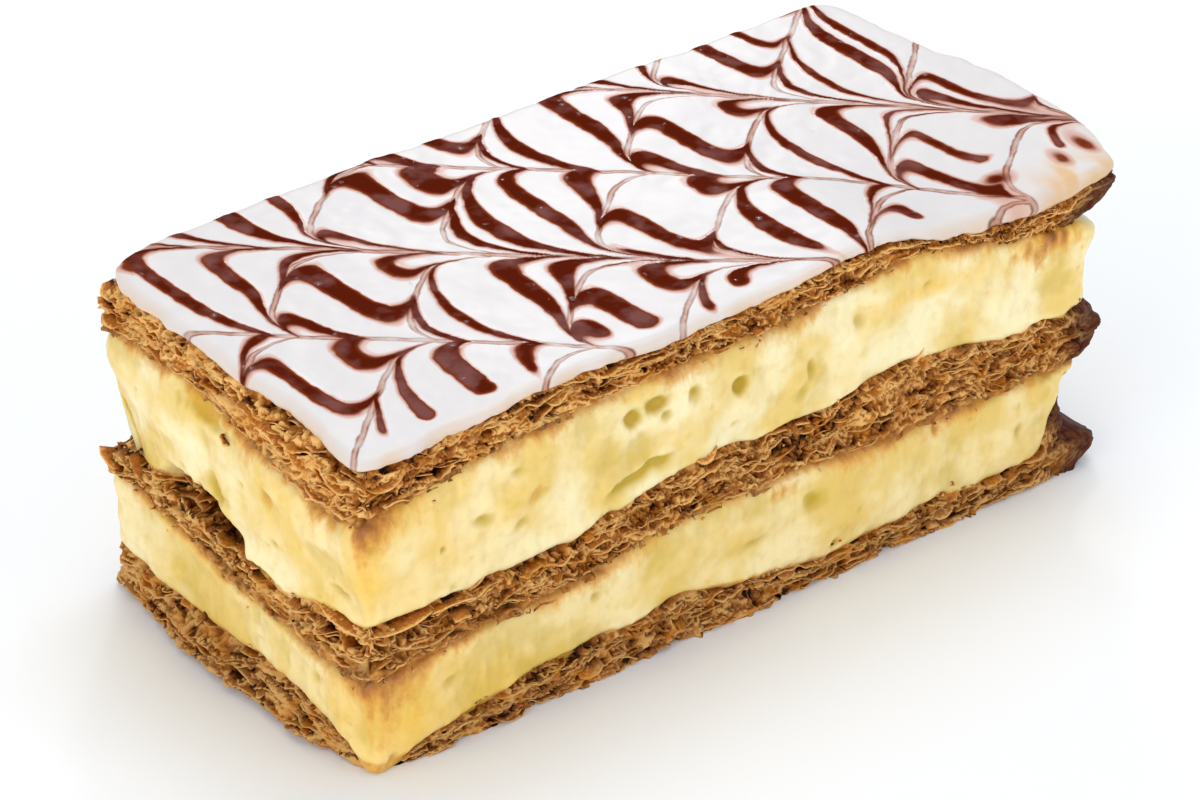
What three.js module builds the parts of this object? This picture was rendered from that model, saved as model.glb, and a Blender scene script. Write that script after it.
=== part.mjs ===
// A slice of mille feuille: three sheets of puff pastry, two layers of set custard between them and a sheet
// of fondant icing on top. Millimetres, +Z up. The long cut side faces -Y and the short cut side faces -X.
// The +X end is the baked edge of the sheet, which the knife left alone.
//
// Each layer is a stack of closed loops round the slice, skinned from its underside to its top. Two layers
// that touch share the loops between them, a hair apart.

import * as THREE from "three";

// The slice as cut.
const LENGTH = 115;
const WIDTH = 54;
const CORNER_RADIUS = 1.6;

// How finely the loops follow the slice.
const STATIONS = 144;
const RIM_DEPTH = 12; // how far inside the edge the surfaces between the layers are still uneven
const END_DEPTH = 15; // how far back from the baked end its pull reaches
const LAYER_GAP = 0.3;

// The surfaces between the layers, from the floor up. front is the height along the long cut side as [x, z]
// pairs, side the height along the short cut side as [y, z] pairs, and back the height further in. end is
// how far the edge stands out from the baked end. sway is how far the edge wanders in plan, and rise how far
// it wanders up and down.
const FLOOR = { front: [[0, 0], [116, 0]], side: [[0, 0], [54, 0]], back: 0, end: -3, sway: 0.5, rise: 0 };
const LOWER_SHEET_TOP = {
  front: [[0, 0.9], [6, 1.6], [17, 3.9], [33, 5.4], [46, 6.4], [58, 4.6], [68, 3.2], [84, 3.9], [116, 3.2]],
  side: [[0, 0.9], [9, 3.9], [20, 5.2], [36, 4.8], [54, 5.6]],
  back: 4.6,
  end: -6.8,
  sway: 0.3,
  rise: 0.3,
};
const LOWER_CUSTARD_TOP = {
  front: [[0, 13.4], [17, 14.3], [33, 15.2], [44, 17.4], [67, 17.2], [83, 16.2], [116, 16]],
  side: [[0, 13.4], [6, 11.8], [18, 12.6], [33, 14.2], [54, 16.6]],
  back: 16,
  end: -3.4,
  sway: 0.3,
  rise: 0.3,
};
const MIDDLE_SHEET_TOP = {
  front: [[0, 20.6], [25, 20.6], [37, 22.6], [50, 24.4], [67, 24.1], [83, 26.4], [98, 23.5], [116, 25.2]],
  side: [[0, 20.6], [11, 18.6], [20, 17], [30, 18.6], [42, 20], [54, 20.4]],
  back: 23.6,
  end: -3.4,
  sway: 0.4,
  rise: 0.5,
};
const UPPER_CUSTARD_TOP = {
  front: [[0, 34.6], [17, 37.4], [33, 38.7], [67, 39.5], [82, 41], [92, 39.4], [100, 37.3], [116, 36.8]],
  side: [[0, 34.6], [9, 33], [18, 34.2], [36, 37], [54, 36.4]],
  back: 38.4,
  end: -5.4,
  sway: 0.3,
  rise: 0.3,
};
const UPPER_SHEET_TOP = {
  front: [[0, 41.2], [10, 41.5], [20, 43], [45, 42.6], [58, 43.1], [77, 44.5], [90, 41], [116, 41.4]],
  side: [[0, 41.2], [18, 41.8], [36, 42.8], [54, 43.3]],
  back: 44,
  end: 0.2,
  sway: 0.4,
  rise: 0.2,
};
const ICING_TOP = {
  front: [[0, 43], [10, 43.2], [20, 44.4], [45, 44.3], [58, 44.6], [77, 45.8], [90, 43.1], [116, 43.4]],
  side: [[0, 43], [18, 43.8], [36, 44.8], [54, 45.3]],
  back: 45.9,
  end: 0.2,
  sway: 0.3,
  rise: 0,
};

// How far in from the two cut sides their unevenness reaches.
const FRONT_FADE = 20;
const SIDE_FADE = 40;

// At the baked end the lower sheet curls up against the custard.
const CURL_START = 104;
const CURL_FULL = 108;
const CURL_RISE = 9.5;

// The icing ran down the cut in drips near the baked end, as [x, how far down].
const DRIPS = [[95, 0.5], [101, 0.9], [107, 1.7]];
const DRIP_WIDTH = 1.7;
const DRIP_DEPTH = 4; // how far in from the cut they start

// The icing and the top of the sheet under it round off the corner of the short cut side and the back, and
// lie back from a stretch of the short side.
const CORNER_CUT = { reach: 2.4, width: 3.5 };
const SETBACK = { reach: 1.2, at: 15, width: 8 };

// The icing's round lip from the side to the top, as [how far out, share of the icing's thickness], and how
// far in from the edge the loops on its top lie.
const ICING_LIP = [[0.3, 0.4], [-0.5, 0.85], [-2, 1]];
const ICING_TOP_DEPTHS = [8, 17];

// How far the baked end bows out across the slice, as [y, x] pairs, at the icing.
const END_BOW = [[0, 0], [7, 2.4], [16, 2.9], [27, 2.1], [38, 0], [54, -1.6]];

// The puff pastry's leaves. A leaf's edge wanders in or out of the cut, and the gap beneath it is set back.
const LEAF_SWAY = 0.65;
const LEAF_GAP = 1.2;
const BAKED_GAP = 0.4; // the gap at the baked end, where the leaves have fused
const BAKED_SWAY = 0.4; // the share of a leaf's unevenness that is left there
const FLAKE_REACH = 1.3; // how far the odd loose flake sticks out
const FLAKE_FROM = 0.4; // how uneven the edge has to be for a flake, from -1 to 1
const CUSTARD_SWELL = 0.4; // how wavy the knife left the custard

// How many bumps each kind of unevenness has once round the slice.
const BUMPS = { leaf: 72, flake: 52, custard: 48, edge: 60, rise: 84, icing: 40 };

// The hole in the upper custard above the middle sheet, on the short cut side: where it runs and how deep.
const HOLE = { from: 28, to: 41, depth: 4.2, ease: 3 };

const SEED = 7;

// How far each layer's wall stands out from the cut on its sides, in mm. Each list runs from the layer's
// underside to its top in even steps, and leaves out the surfaces at its two ends.
const LOWER_SHEET_WALL = {
  front: [0.1, 0.1, 0],
  end: [0.6, -3.6, -6.2],
  back: [0.2, 0.3, 0.1],
  left: [1.2, 1.1, 0.6],
};
const LOWER_CUSTARD_WALL = {
  front: [0, 0.1],
  end: [-7, -5.8],
  back: [0.2, 0.2],
  left: [-0.2, -0.3],
};
const MIDDLE_SHEET_WALL = {
  front: [0.2, 0.2, 0.3, 0.3, 0.2],
  end: [-0.8, 0.4, 0.5, -0.4, -1.6],
  back: [0.3, 0.5, 0.5, 0.3, 0.2],
  left: [0.4, 0.5, 0.6, 0.5, 0.4],
};
const UPPER_CUSTARD_WALL = {
  front: [0, 0.1, 0.2, 0.1],
  end: [-3.8, -3.6, -3.4, -1.6],
  back: [0.1, 0.2, 0.2, 0.1],
  left: [-0.4, -0.2, 0.3, 0.6],
};
const UPPER_SHEET_WALL = {
  front: [0.1, 0.1, 0],
  end: [0, 1.5, 1.2],
  back: [0.2, 0.2, 0.1],
  left: [0.5, 0.7, 0.5],
};

// How far the short side's bottom edge bellies out halfway across, and the flake at its back corner.
const BELLY = { reach: 1.9, at: 32, width: 9 };
const CORNER_FLAKE = { reach: 0.7, at: 52, width: 3 };
const STRAIGHT = { reach: 0, at: 0, width: 1 };
// The upper custard draws back from the back corner of the short side, the more the lower.
const CORNER_SHRINK = { reach: 4.6, width: 5 };

// Finishes.
const PASTRY = { color: 0xb9833f, roughness: 0.75, metalness: 0 };
const CUSTARD = { color: 0xf0de8c, roughness: 0.45, metalness: 0 };
const ICING = { color: 0xf2eff0, roughness: 0.3, metalness: 0 };

function smoothStep(value, from, to) {
  const t = THREE.MathUtils.clamp((value - from) / (to - from), 0, 1);
  return t * t * (3 - 2 * t);
}

// A round bump of height 1.
function bump(value, at, width) {
  return Math.exp(-(((value - at) / width) ** 2));
}

// A number from -1 to 1 that looks random and is the same every time.
function chance(index, seed) {
  const wave = Math.sin(index * 127.1 + (seed + SEED) * 311.7) * 43758.5453;
  return 2 * (wave - Math.floor(wave)) - 1;
}

// Smooth unevenness from -1 to 1 that closes on itself. turn goes once round the slice from 0 to 1.
function unevenness(turn, bumps, seed) {
  const place = turn * bumps;
  const index = Math.floor(place);
  const next = (index + 1) % bumps;
  return THREE.MathUtils.lerp(chance(index, seed), chance(next, seed), smoothStep(place - index, 0, 1));
}

// A smooth curve through [place, value] pairs.
function curveAt(pairs, place) {
  const last = pairs.length - 1;
  let i = 0;
  while (i < last - 1 && place > pairs[i + 1][0]) i += 1;
  const [x0, z0] = pairs[i];
  const [x1, z1] = pairs[i + 1];
  const t = THREE.MathUtils.clamp((place - x0) / (x1 - x0), 0, 1);
  const [xBefore, zBefore] = pairs[Math.max(i - 1, 0)];
  const [xAfter, zAfter] = pairs[Math.min(i + 2, last)];
  const slopeIn = ((z1 - zBefore) / (x1 - xBefore)) * (x1 - x0);
  const slopeOut = ((zAfter - z0) / (xAfter - x0)) * (x1 - x0);
  const t2 = t * t;
  const t3 = t2 * t;
  const fromStart = (2 * t3 - 3 * t2 + 1) * z0 + (t3 - 2 * t2 + t) * slopeIn;
  const toEnd = (3 * t2 - 2 * t3) * z1 + (t3 - t2) * slopeOut;
  return fromStart + toEnd;
}

// The height of a surface between two layers at a place in plan.
function heightAt(surface, x, y) {
  const nearFront = Math.exp(-Math.max(y, 0) / FRONT_FADE);
  const nearSide = Math.exp(-Math.max(x, 0) / SIDE_FADE);
  const along = THREE.MathUtils.lerp(surface.back, curveAt(surface.front, x), nearFront);
  const atSide = THREE.MathUtils.lerp(surface.back, surface.side[0][1], nearFront);
  let height = along + (curveAt(surface.side, y) - atSide) * nearSide;
  if (surface === LOWER_SHEET_TOP) height += CURL_RISE * smoothStep(x, CURL_START, CURL_FULL);
  if (surface === UPPER_SHEET_TOP) {
    for (const [at, drop] of DRIPS) height -= drop * bump(x, at, DRIP_WIDTH) * bump(y, 0, DRIP_DEPTH);
  }
  return height;
}

// Evenly spaced places round the slice, each with its way out and how much it belongs to each side.
function makeStations() {
  const outline = new THREE.Shape();
  const r = CORNER_RADIUS;
  outline.moveTo(r, 0);
  outline.lineTo(LENGTH - r, 0);
  outline.absarc(LENGTH - r, r, r, -Math.PI / 2, 0);
  outline.absarc(LENGTH - r, WIDTH - r, r, 0, Math.PI / 2);
  outline.absarc(r, WIDTH - r, r, Math.PI / 2, Math.PI);
  outline.absarc(r, r, r, Math.PI, Math.PI * 1.5);
  const points = outline.getSpacedPoints(STATIONS).slice(0, STATIONS);
  return points.map((point, i) => {
    const before = points[(i + STATIONS - 1) % STATIONS];
    const after = points[(i + 1) % STATIONS];
    const out = new THREE.Vector2(after.y - before.y, before.x - after.x).normalize();
    return {
      x: point.x,
      y: point.y,
      out,
      turn: i / STATIONS,
      front: Math.max(0, -out.y) ** 2,
      back: Math.max(0, out.y) ** 2,
      left: Math.max(0, -out.x) ** 2,
      baked: Math.max(0, out.x) ** 2,
      nearEnd: THREE.MathUtils.clamp((point.x - LENGTH + END_DEPTH) / END_DEPTH, 0, 1),
    };
  });
}

const STATION_LIST = makeStations();

// A station's place in plan, moved out from the cut by reach and along the slice by pull at the baked end.
function edgePlace(station, reach, pull) {
  return {
    x: station.x + station.out.x * reach + pull * station.nearEnd,
    y: station.y + station.out.y * reach,
  };
}

// A station's place in plan, moved towards the middle of the slice.
function innerPlace(station, depth) {
  const middleX = LENGTH / 2;
  const middleY = WIDTH / 2;
  return {
    x: middleX + (station.x - middleX) * (1 - depth / middleX),
    y: middleY + (station.y - middleY) * (1 - depth / middleY),
  };
}

// A surface's own edge, shared by the two layers that meet in it.
function edgeLoop(surface, shift) {
  const seed = 100 + surface.front.length + surface.front[0][1];
  return STATION_LIST.map((station) => {
    let reach = surface.sway * unevenness(station.turn, BUMPS.edge, seed);
    if (surface === MIDDLE_SHEET_TOP) reach -= HOLE.depth * holeShare(station) + cornerShrink(station);
    if (surface === UPPER_SHEET_TOP) reach -= icingCut(station);
    const place = edgePlace(station, reach, surface.end + bowAt(station, surface));
    const rise = surface.rise * unevenness(station.turn, BUMPS.rise, seed + 1);
    return new THREE.Vector3(place.x, place.y, heightAt(surface, place.x, place.y) + rise + shift);
  });
}

// The icing and the sheet under it bow out at the baked end.
function bowAt(station, surface) {
  if (surface !== UPPER_SHEET_TOP && surface !== ICING_TOP) return 0;
  return curveAt(END_BOW, station.y) * station.nearEnd;
}

// How far the icing lies back from the cut.
function icingCut(station) {
  const setback = SETBACK.reach * bump(station.y, SETBACK.at, SETBACK.width) * station.left;
  return setback + CORNER_CUT.reach * backCorner(station, CORNER_CUT.width);
}

// How near a station is to the corner of the short cut side and the back.
function backCorner(station, width) {
  return bump(station.x, 0, width) * bump(station.y, WIDTH, width);
}

// How far the upper custard's underside draws back from that corner.
function cornerShrink(station) {
  return CORNER_SHRINK.reach * backCorner(station, CORNER_SHRINK.width);
}

// How much a station belongs to the hole in the upper custard.
function holeShare(station) {
  const fromFront = smoothStep(station.y, HOLE.from - HOLE.ease, HOLE.from);
  const fromBack = smoothStep(-station.y, -HOLE.to - HOLE.ease, -HOLE.to);
  return fromFront * fromBack * station.left;
}

// A loop on a surface, inside the slice by the given depth.
function innerLoop(surface, depth, shift) {
  return STATION_LIST.map((station) => {
    const place = innerPlace(station, depth);
    return new THREE.Vector3(place.x, place.y, heightAt(surface, place.x, place.y) + shift);
  });
}

// The loops of a wall between the edges of two surfaces. reachOut says how far a station stands out at a
// step, on top of what the wall's own lists say.
function wallLoops(lowEdge, highEdge, wall, reachOut) {
  return wall.front.map((_, step) => {
    const share = (step + 1) / (wall.front.length + 1);
    return STATION_LIST.map((station, i) => {
      const cut = wall.front[step] * station.front + wall.back[step] * station.back;
      const reach = cut + wall.left[step] * station.left + reachOut(station, step, share);
      const place = edgePlace(station, reach, wall.end[step]);
      const z = THREE.MathUtils.lerp(lowEdge[i].z, highEdge[i].z, share);
      return new THREE.Vector3(place.x, place.y, z);
    });
  });
}

// Skins a stack of loops into one closed body, with a fan to the middle at either end. The first and last
// bands split their faces from the outer loop, so that two layers that meet have the same faces there.
function skin(loops, fanHeights) {
  const positions = loops.flat().flatMap((point) => [point.x, point.y, point.z]);
  const indices = [];
  for (let k = 0; k < loops.length - 1; k += 1) {
    for (let i = 0; i < STATIONS; i += 1) {
      const a = k * STATIONS + i;
      const b = k * STATIONS + ((i + 1) % STATIONS);
      const c = b + STATIONS;
      const d = a + STATIONS;
      if (k === 0) indices.push(a, b, d, b, c, d);
      else indices.push(a, b, c, a, c, d);
    }
  }
  const top = (loops.length - 1) * STATIONS;
  const centre = loops.length * STATIONS;
  positions.push(LENGTH / 2, WIDTH / 2, fanHeights[0], LENGTH / 2, WIDTH / 2, fanHeights[1]);
  for (let i = 0; i < STATIONS; i += 1) {
    const next = (i + 1) % STATIONS;
    indices.push(centre, next, i, centre + 1, top + i, top + next);
  }
  const geometry = new THREE.BufferGeometry();
  geometry.setAttribute("position", new THREE.Float32BufferAttribute(positions, 3));
  geometry.setIndex(indices);
  geometry.computeVertexNormals();
  return geometry;
}

// The whole body of a layer between two surfaces.
function layer(name, below, above, wall, reachOut, finish) {
  const lift = below === FLOOR ? 0 : LAYER_GAP / 2;
  const drop = -LAYER_GAP / 2;
  const lowEdge = edgeLoop(below, lift);
  const highEdge = edgeLoop(above, drop);
  const loops = [
    innerLoop(below, RIM_DEPTH, lift),
    lowEdge,
    ...wallLoops(lowEdge, highEdge, wall, reachOut),
    highEdge,
    innerLoop(above, RIM_DEPTH, drop),
  ];
  const middle = (surface) => heightAt(surface, LENGTH / 2, WIDTH / 2);
  return named(name, skin(loops, [middle(below) + lift, middle(above) + drop]), finish);
}

// A sheet of puff pastry. Even steps of its wall are the edges of leaves, and odd steps are the gaps between
// them. swell is a stretch of the short side that stands out.
function pastrySheet(name, below, above, wall, seed, swell) {
  const reachOut = (station, step) => {
    const sway = LEAF_SWAY * unevenness(station.turn, BUMPS.leaf, seed + step);
    const loose = smoothStep(unevenness(station.turn, BUMPS.flake, seed + step + 9), FLAKE_FROM, 1);
    const edge = (sway + FLAKE_REACH * loose) * THREE.MathUtils.lerp(1, BAKED_SWAY, station.baked);
    const belly = swell.reach * bump(station.y, swell.at, swell.width) * station.left;
    if (step % 2 === 0) return edge + belly;
    return edge / 2 + belly - THREE.MathUtils.lerp(LEAF_GAP, BAKED_GAP, station.baked);
  };
  return layer(name, below, above, wall, reachOut, PASTRY);
}

// A layer of custard, left wavy by the knife.
function custardLayer(name, below, above, wall, seed, shrinks) {
  const reachOut = (station, step, share) => {
    const wave = CUSTARD_SWELL * unevenness(station.turn, BUMPS.custard, seed + step);
    return shrinks ? wave - (1 - share) ** 2 * cornerShrink(station) : wave;
  };
  return layer(name, below, above, wall, reachOut, CUSTARD);
}

// The icing, a sheet with a round lip: its wall starts at the underside and turns in over the top.
function icingSheet(name) {
  const under = edgeLoop(UPPER_SHEET_TOP, LAYER_GAP / 2);
  const loopAt = (reach, share) =>
    STATION_LIST.map((station, i) => {
      const sway = ICING_TOP.sway * unevenness(station.turn, BUMPS.icing, 90);
      const pull = ICING_TOP.end + bowAt(station, ICING_TOP);
      const place = edgePlace(station, reach + sway - icingCut(station), pull);
      const z = THREE.MathUtils.lerp(under[i].z, heightAt(ICING_TOP, place.x, place.y), share);
      return new THREE.Vector3(place.x, place.y, z);
    });
  const loops = [
    innerLoop(UPPER_SHEET_TOP, RIM_DEPTH, LAYER_GAP / 2),
    under,
    ...ICING_LIP.map(([reach, share]) => loopAt(reach, share)),
    ...ICING_TOP_DEPTHS.map((depth) => innerLoop(ICING_TOP, depth, 0)),
  ];
  const middle = (surface) => heightAt(surface, LENGTH / 2, WIDTH / 2);
  return named(name, skin(loops, [middle(UPPER_SHEET_TOP) + LAYER_GAP / 2, middle(ICING_TOP)]), ICING);
}

function named(name, geometry, finish) {
  const mesh = new THREE.Mesh(geometry, new THREE.MeshStandardMaterial(finish));
  mesh.name = name;
  return mesh;
}

function buildSlice() {
  const slice = new THREE.Group();
  slice.add(
    pastrySheet("pastry_bottom", FLOOR, LOWER_SHEET_TOP, LOWER_SHEET_WALL, 10, BELLY),
    custardLayer("custard_lower", LOWER_SHEET_TOP, LOWER_CUSTARD_TOP, LOWER_CUSTARD_WALL, 20, false),
    pastrySheet("pastry_middle", LOWER_CUSTARD_TOP, MIDDLE_SHEET_TOP, MIDDLE_SHEET_WALL, 30, CORNER_FLAKE),
    custardLayer("custard_upper", MIDDLE_SHEET_TOP, UPPER_CUSTARD_TOP, UPPER_CUSTARD_WALL, 50, true),
    pastrySheet("pastry_top", UPPER_CUSTARD_TOP, UPPER_SHEET_TOP, UPPER_SHEET_WALL, 60, STRAIGHT),
    icingSheet("icing"),
  );
  // Its box is centred over the origin, and its underside rests at nought.
  const box = new THREE.Box3().setFromObject(slice);
  const middle = box.getCenter(new THREE.Vector3());
  slice.position.set(-middle.x, -middle.y, -box.min.z);
  return slice;
}

export default buildSlice();
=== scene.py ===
import math
from types import SimpleNamespace

import bpy
import numpy as np
from mathutils import Matrix, Vector
from mathutils.bvhtree import BVHTree


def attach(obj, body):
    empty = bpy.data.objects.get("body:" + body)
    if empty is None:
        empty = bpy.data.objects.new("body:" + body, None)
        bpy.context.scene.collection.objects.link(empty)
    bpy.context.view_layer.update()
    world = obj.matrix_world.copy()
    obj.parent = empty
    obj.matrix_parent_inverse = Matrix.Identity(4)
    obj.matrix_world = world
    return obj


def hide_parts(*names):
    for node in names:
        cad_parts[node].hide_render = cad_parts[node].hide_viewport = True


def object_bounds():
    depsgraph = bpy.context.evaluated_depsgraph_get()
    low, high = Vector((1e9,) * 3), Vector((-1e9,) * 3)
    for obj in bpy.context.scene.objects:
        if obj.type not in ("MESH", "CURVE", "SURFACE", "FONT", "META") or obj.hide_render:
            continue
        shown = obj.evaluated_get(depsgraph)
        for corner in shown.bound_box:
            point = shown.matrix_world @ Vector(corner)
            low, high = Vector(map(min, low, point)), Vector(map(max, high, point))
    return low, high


bl_info = {
    "name": "Mille feuille slice",
    "blender": (4, 5, 0),
    "version": (1, 0, 0),
    "location": "View3D > Sidebar > Slice",
    "description": "Dresses a slice of mille feuille: flaky sheets, set custard and feathered icing",
    "category": "Object",
}

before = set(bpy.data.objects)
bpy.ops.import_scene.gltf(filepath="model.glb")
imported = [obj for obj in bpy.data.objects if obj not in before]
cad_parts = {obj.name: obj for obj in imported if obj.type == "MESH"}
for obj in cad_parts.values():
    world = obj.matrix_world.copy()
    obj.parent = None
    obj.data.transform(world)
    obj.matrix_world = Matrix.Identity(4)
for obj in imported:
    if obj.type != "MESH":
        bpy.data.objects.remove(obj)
CAD_BOX = [list(corner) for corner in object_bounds()]

# The cut slice in millimetres, seen from above: x runs from the short cut side to the baked end, y from the
# long cut side to the back. CUT_CORNER is where the corner of the two cut sides lies in the frame.
MM = 0.001
LENGTH, WIDTH, CORNER = 115.0, 54.0, 1.6
CUT_CORNER = np.array([-57.79, -27.27, 0.0])
END_DEPTH = 15.0  # how far back from the baked end its own shape reaches
END_SHOWN = 4.0  # how far from the long cut side the baked end is felt
LEVEL_STEP = 0.25  # height between the levels at which the solids are felt
LEVELS = np.arange(0.05, 45.85, LEVEL_STEP)
START = 12.0  # how far outside the cut outline a ray starts
NODES = ("pastry_bottom", "custard_lower", "pastry_middle", "custard_upper", "pastry_top", "icing")
OVERLAP = 1.3  # how far each layer runs on behind its neighbours
DEEPEST = -4.5  # a ray that goes in further has slipped between two solids
FREE = 99.0  # a ceiling that nothing reaches
TALL = 40  # bumps as tall as this are the same from the foot of a layer to its head

# The chocolate lines as piped, each [place along the slice, half its width, where it starts from the cut].
STRIPES = [
    [3.9, 1.0, 3.5], [11, 1.1, 3.5], [19, 1.5, 3.5], [26, 0.9, 4], [36.5, 1.5, 6],
    [42, 1.6, 3.5], [49.5, 1.2, 1.5], [56.5, 1.3, 4], [67.5, 1.4, 5], [74.5, 1.4, 3],
    [83.5, 0.9, 3], [92.5, 1.2, 2], [98.5, 0.7, 8], [106.5, 1.2, 11], [110, 0.8, 6],
]
LEAN = -0.03  # how far the lines lean along the slice for each mm across it
# The point of a skewer was then drawn through them, each stroke [where it crosses the middle of the slice,
# heading in degrees, how far it drags the icing, how wide it drags it].
STROKES = [
    [2, -138.5, 5.5, 1.1], [26, 42, 7, 1.7], [53.5, -138, 5, 1.2], [75, 40, 6, 1.5], [101.5, -138, 9, 0.9],
    [127, 37, 8, 3.3], [39.8, -40.5, 10, 1.3], [10.2, -42, 4.6, 2], [71.5, -41, 4.5, 1.9],
    [102, -43, 11, 1.1],
]
# Where a drop of chocolate has fallen beside the lines, each [x, y, half its size along x, the same along y].
BLOTS = [
    [2.8, 50.2, 1.1, 1.5], [98.0, 3.4, 0.7, 1.2], [99.8, 5.4, 1.8, 1.0], [109.8, 4.4, 0.8, 1.2],
    [114.4, 5.4, 0.9, 1.8],
]
BLOT_SOFTNESS = 0.4  # how quickly a drop darkens towards its middle, for each mm of its half length
STROKE_MIDDLE = 25.0  # the y at which the strokes' places are given
EDGE_SOFTNESS = 0.22  # how far chocolate and icing run into each other
SMEARED = 0.5  # how much further they do for each unit that a stroke has drawn them out
SCRATCH = 0.29  # half the width of the mark that the point leaves


# ---------------------------------------------------------------- sums on arrays


def ease(value, low, high):
    """0 below low, 1 above high, and a smooth rise between them."""
    t = np.clip((value - low) / (high - low), 0, 1)
    return t * t * (3 - 2 * t)


def hashed(x, y, z, seed):
    """A number from -1 to 1 for each lattice point, the same every time."""
    # The large numbers only mix its bits.
    mask = np.uint64(0xFFFFFFFF)
    n = x.astype(np.int64).astype(np.uint64) * np.uint64(374761393)
    n += y.astype(np.int64).astype(np.uint64) * np.uint64(668265263)
    n += z.astype(np.int64).astype(np.uint64) * np.uint64(2147483647)
    n = (n + np.uint64(seed * 144665 + 1)) & mask
    n = ((n ^ (n >> np.uint64(13))) * np.uint64(1274126177)) & mask
    n = ((n ^ (n >> np.uint64(16))) * np.uint64(2246822519)) & mask
    n ^= n >> np.uint64(15)
    return n.astype(float) / 0x7FFFFFFF - 1


def noise(points, size, seed):
    """Smooth unevenness from -1 to 1. size is the spacing of its bumps in mm, one number or three."""
    p = points / np.asarray(size, float)
    cell = np.floor(p)
    t = p - cell
    t = t * t * (3 - 2 * t)
    total = 0.0
    for i in (0, 1):
        wx = t[..., 0] if i else 1 - t[..., 0]
        for j in (0, 1):
            wy = t[..., 1] if j else 1 - t[..., 1]
            for k in (0, 1):
                wz = t[..., 2] if k else 1 - t[..., 2]
                corner = hashed(cell[..., 0] + i, cell[..., 1] + j, cell[..., 2] + k, seed)
                total = total + corner * wx * wy * wz
    return total


def bumps(points, seed, *layers):
    """Unevenness of several sizes added up. Each layer is the size of its bumps and how much they count."""
    return sum(share * noise(points, size, seed + i) for i, (size, share) in enumerate(layers))


def blur(values, sigma, axis, wrap):
    """Softens an array along one axis. sigma is in steps of the array."""
    reach = int(math.ceil(3 * sigma))
    offsets = np.arange(-reach, reach + 1)
    weights = np.exp(-0.5 * (offsets / sigma) ** 2)
    weights /= weights.sum()
    count = values.shape[axis]
    total = 0.0
    for offset, weight in zip(offsets, weights):
        index = np.arange(count) + offset
        index = index % count if wrap else np.clip(index, 0, count - 1)
        total = total + weight * np.take(values, index, axis=axis)
    return total


def median(values, reach):
    """Takes lone spikes out of a closed run of values."""
    return np.median([np.roll(values, k) for k in range(-reach, reach + 1)], 0)


def fill(rows):
    """Fills what is missing in closed rows of values from its neighbours in the row."""
    for row in rows:
        gaps = np.isnan(row)
        if gaps.any() and not gaps.all():
            places = np.nonzero(~gaps)[0]
            row[gaps] = np.interp(np.nonzero(gaps)[0], places, row[places], period=len(row))
    return rows


# ---------------------------------------------------------------- the form, felt from the solids


def near_end(x):
    """How much of the baked end's own shape there is, from 0 to 1 at the end."""
    return np.clip((x - LENGTH + END_DEPTH) / END_DEPTH, 0, 1)


def drawn_in(x, y, depth):
    """Places moved towards the middle of the slice, by depth mm at its sides."""
    half_x, half_y = LENGTH / 2, WIDTH / 2
    return half_x + (x - half_x) * (1 - depth / half_x), half_y + (y - half_y) * (1 - depth / half_y)


class Outline:
    """Places round the cut edge of the slice, each with its way out, closer together on the cut sides. counts
    holds how many there are on each side and on the corner after it, from the long cut side on."""

    def __init__(self, cut_step, far_step):
        points, normals, corner, heading = [], [], np.array([CORNER, 0.0]), 0.0
        self.counts = []
        for side, step in ((LENGTH, cut_step), (WIDTH, far_step), (LENGTH, far_step), (WIDTH, cut_step)):
            span = side - 2 * CORNER
            way = np.array([math.cos(heading), math.sin(heading)])
            out = np.array([way[1], -way[0]])
            straight = round(span / step)
            for i in range(straight):
                points.append(corner + way * span * i / straight)
                normals.append(out)
            centre = corner + way * span - out * CORNER
            turn = max(3, round(CORNER * math.pi / 2 / step))
            for i in range(turn):
                angle = heading - math.pi / 2 + math.pi / 2 * i / turn
                normals.append(np.array([math.cos(angle), math.sin(angle)]))
                points.append(centre + CORNER * normals[-1])
            corner = centre + CORNER * way
            heading += math.pi / 2
            self.counts += [straight, turn]
        self.x, self.y = np.array(points).T
        self.nx, self.ny = np.array(normals).T
        self.count = len(points)
        self.step = np.hypot(np.roll(self.x, -1) - self.x, np.roll(self.y, -1) - self.y)
        self.along = np.concatenate([[0], np.cumsum(self.step)[:-1]])
        self.round = float(self.step.sum())
        self.near_end = near_end(self.x)
        self.flat = np.stack([self.x, self.y, np.zeros(self.count)], -1)

    def at(self, reach, z):
        """Points that stand out by reach at the heights z, as arrays of (rows, places)."""
        x = self.x + self.nx * reach + pull_at(z) * self.near_end
        y = self.y + self.ny * reach
        return np.stack(np.broadcast_arrays(x, y, z), -1)

    def inside(self, depth, z):
        """Points drawn in towards the middle of the slice."""
        return np.stack(np.broadcast_arrays(*drawn_in(self.x, self.y, depth), z), -1)

    def to_corner(self, reach):
        """How near each place is to the cut corner: 1 there, and almost 0 at twice the reach."""
        return np.exp(-((np.hypot(self.x, self.y) / reach) ** 2))

    def point(self, along, reach, z):
        """Points at any distances along the outline, which wrap round it."""
        x, y, nx, ny = (
            np.interp(along, self.along, values, period=self.round)
            for values in (self.x, self.y, self.nx, self.ny)
        )
        scale = np.hypot(nx, ny)
        return np.stack([x + nx / scale * reach + pull_at(z) * near_end(x), y + ny / scale * reach, z], -1)


def solids():
    """The frame's solids as one searchable body in mm, and which node each face belongs to."""
    points, faces, owners, first = [], [], [], 0
    for index, name in enumerate(NODES):
        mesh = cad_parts[name].data
        co = np.zeros(len(mesh.vertices) * 3)
        mesh.vertices.foreach_get("co", co)
        points.extend((co.reshape(-1, 3) / MM - CUT_CORNER).tolist())
        for polygon in mesh.polygons:
            faces.append([first + v for v in polygon.vertices])
            owners.append(index)
        first += len(mesh.vertices)
    return BVHTree.FromPolygons(points, faces), owners


TREE, OWNERS = solids()


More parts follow.
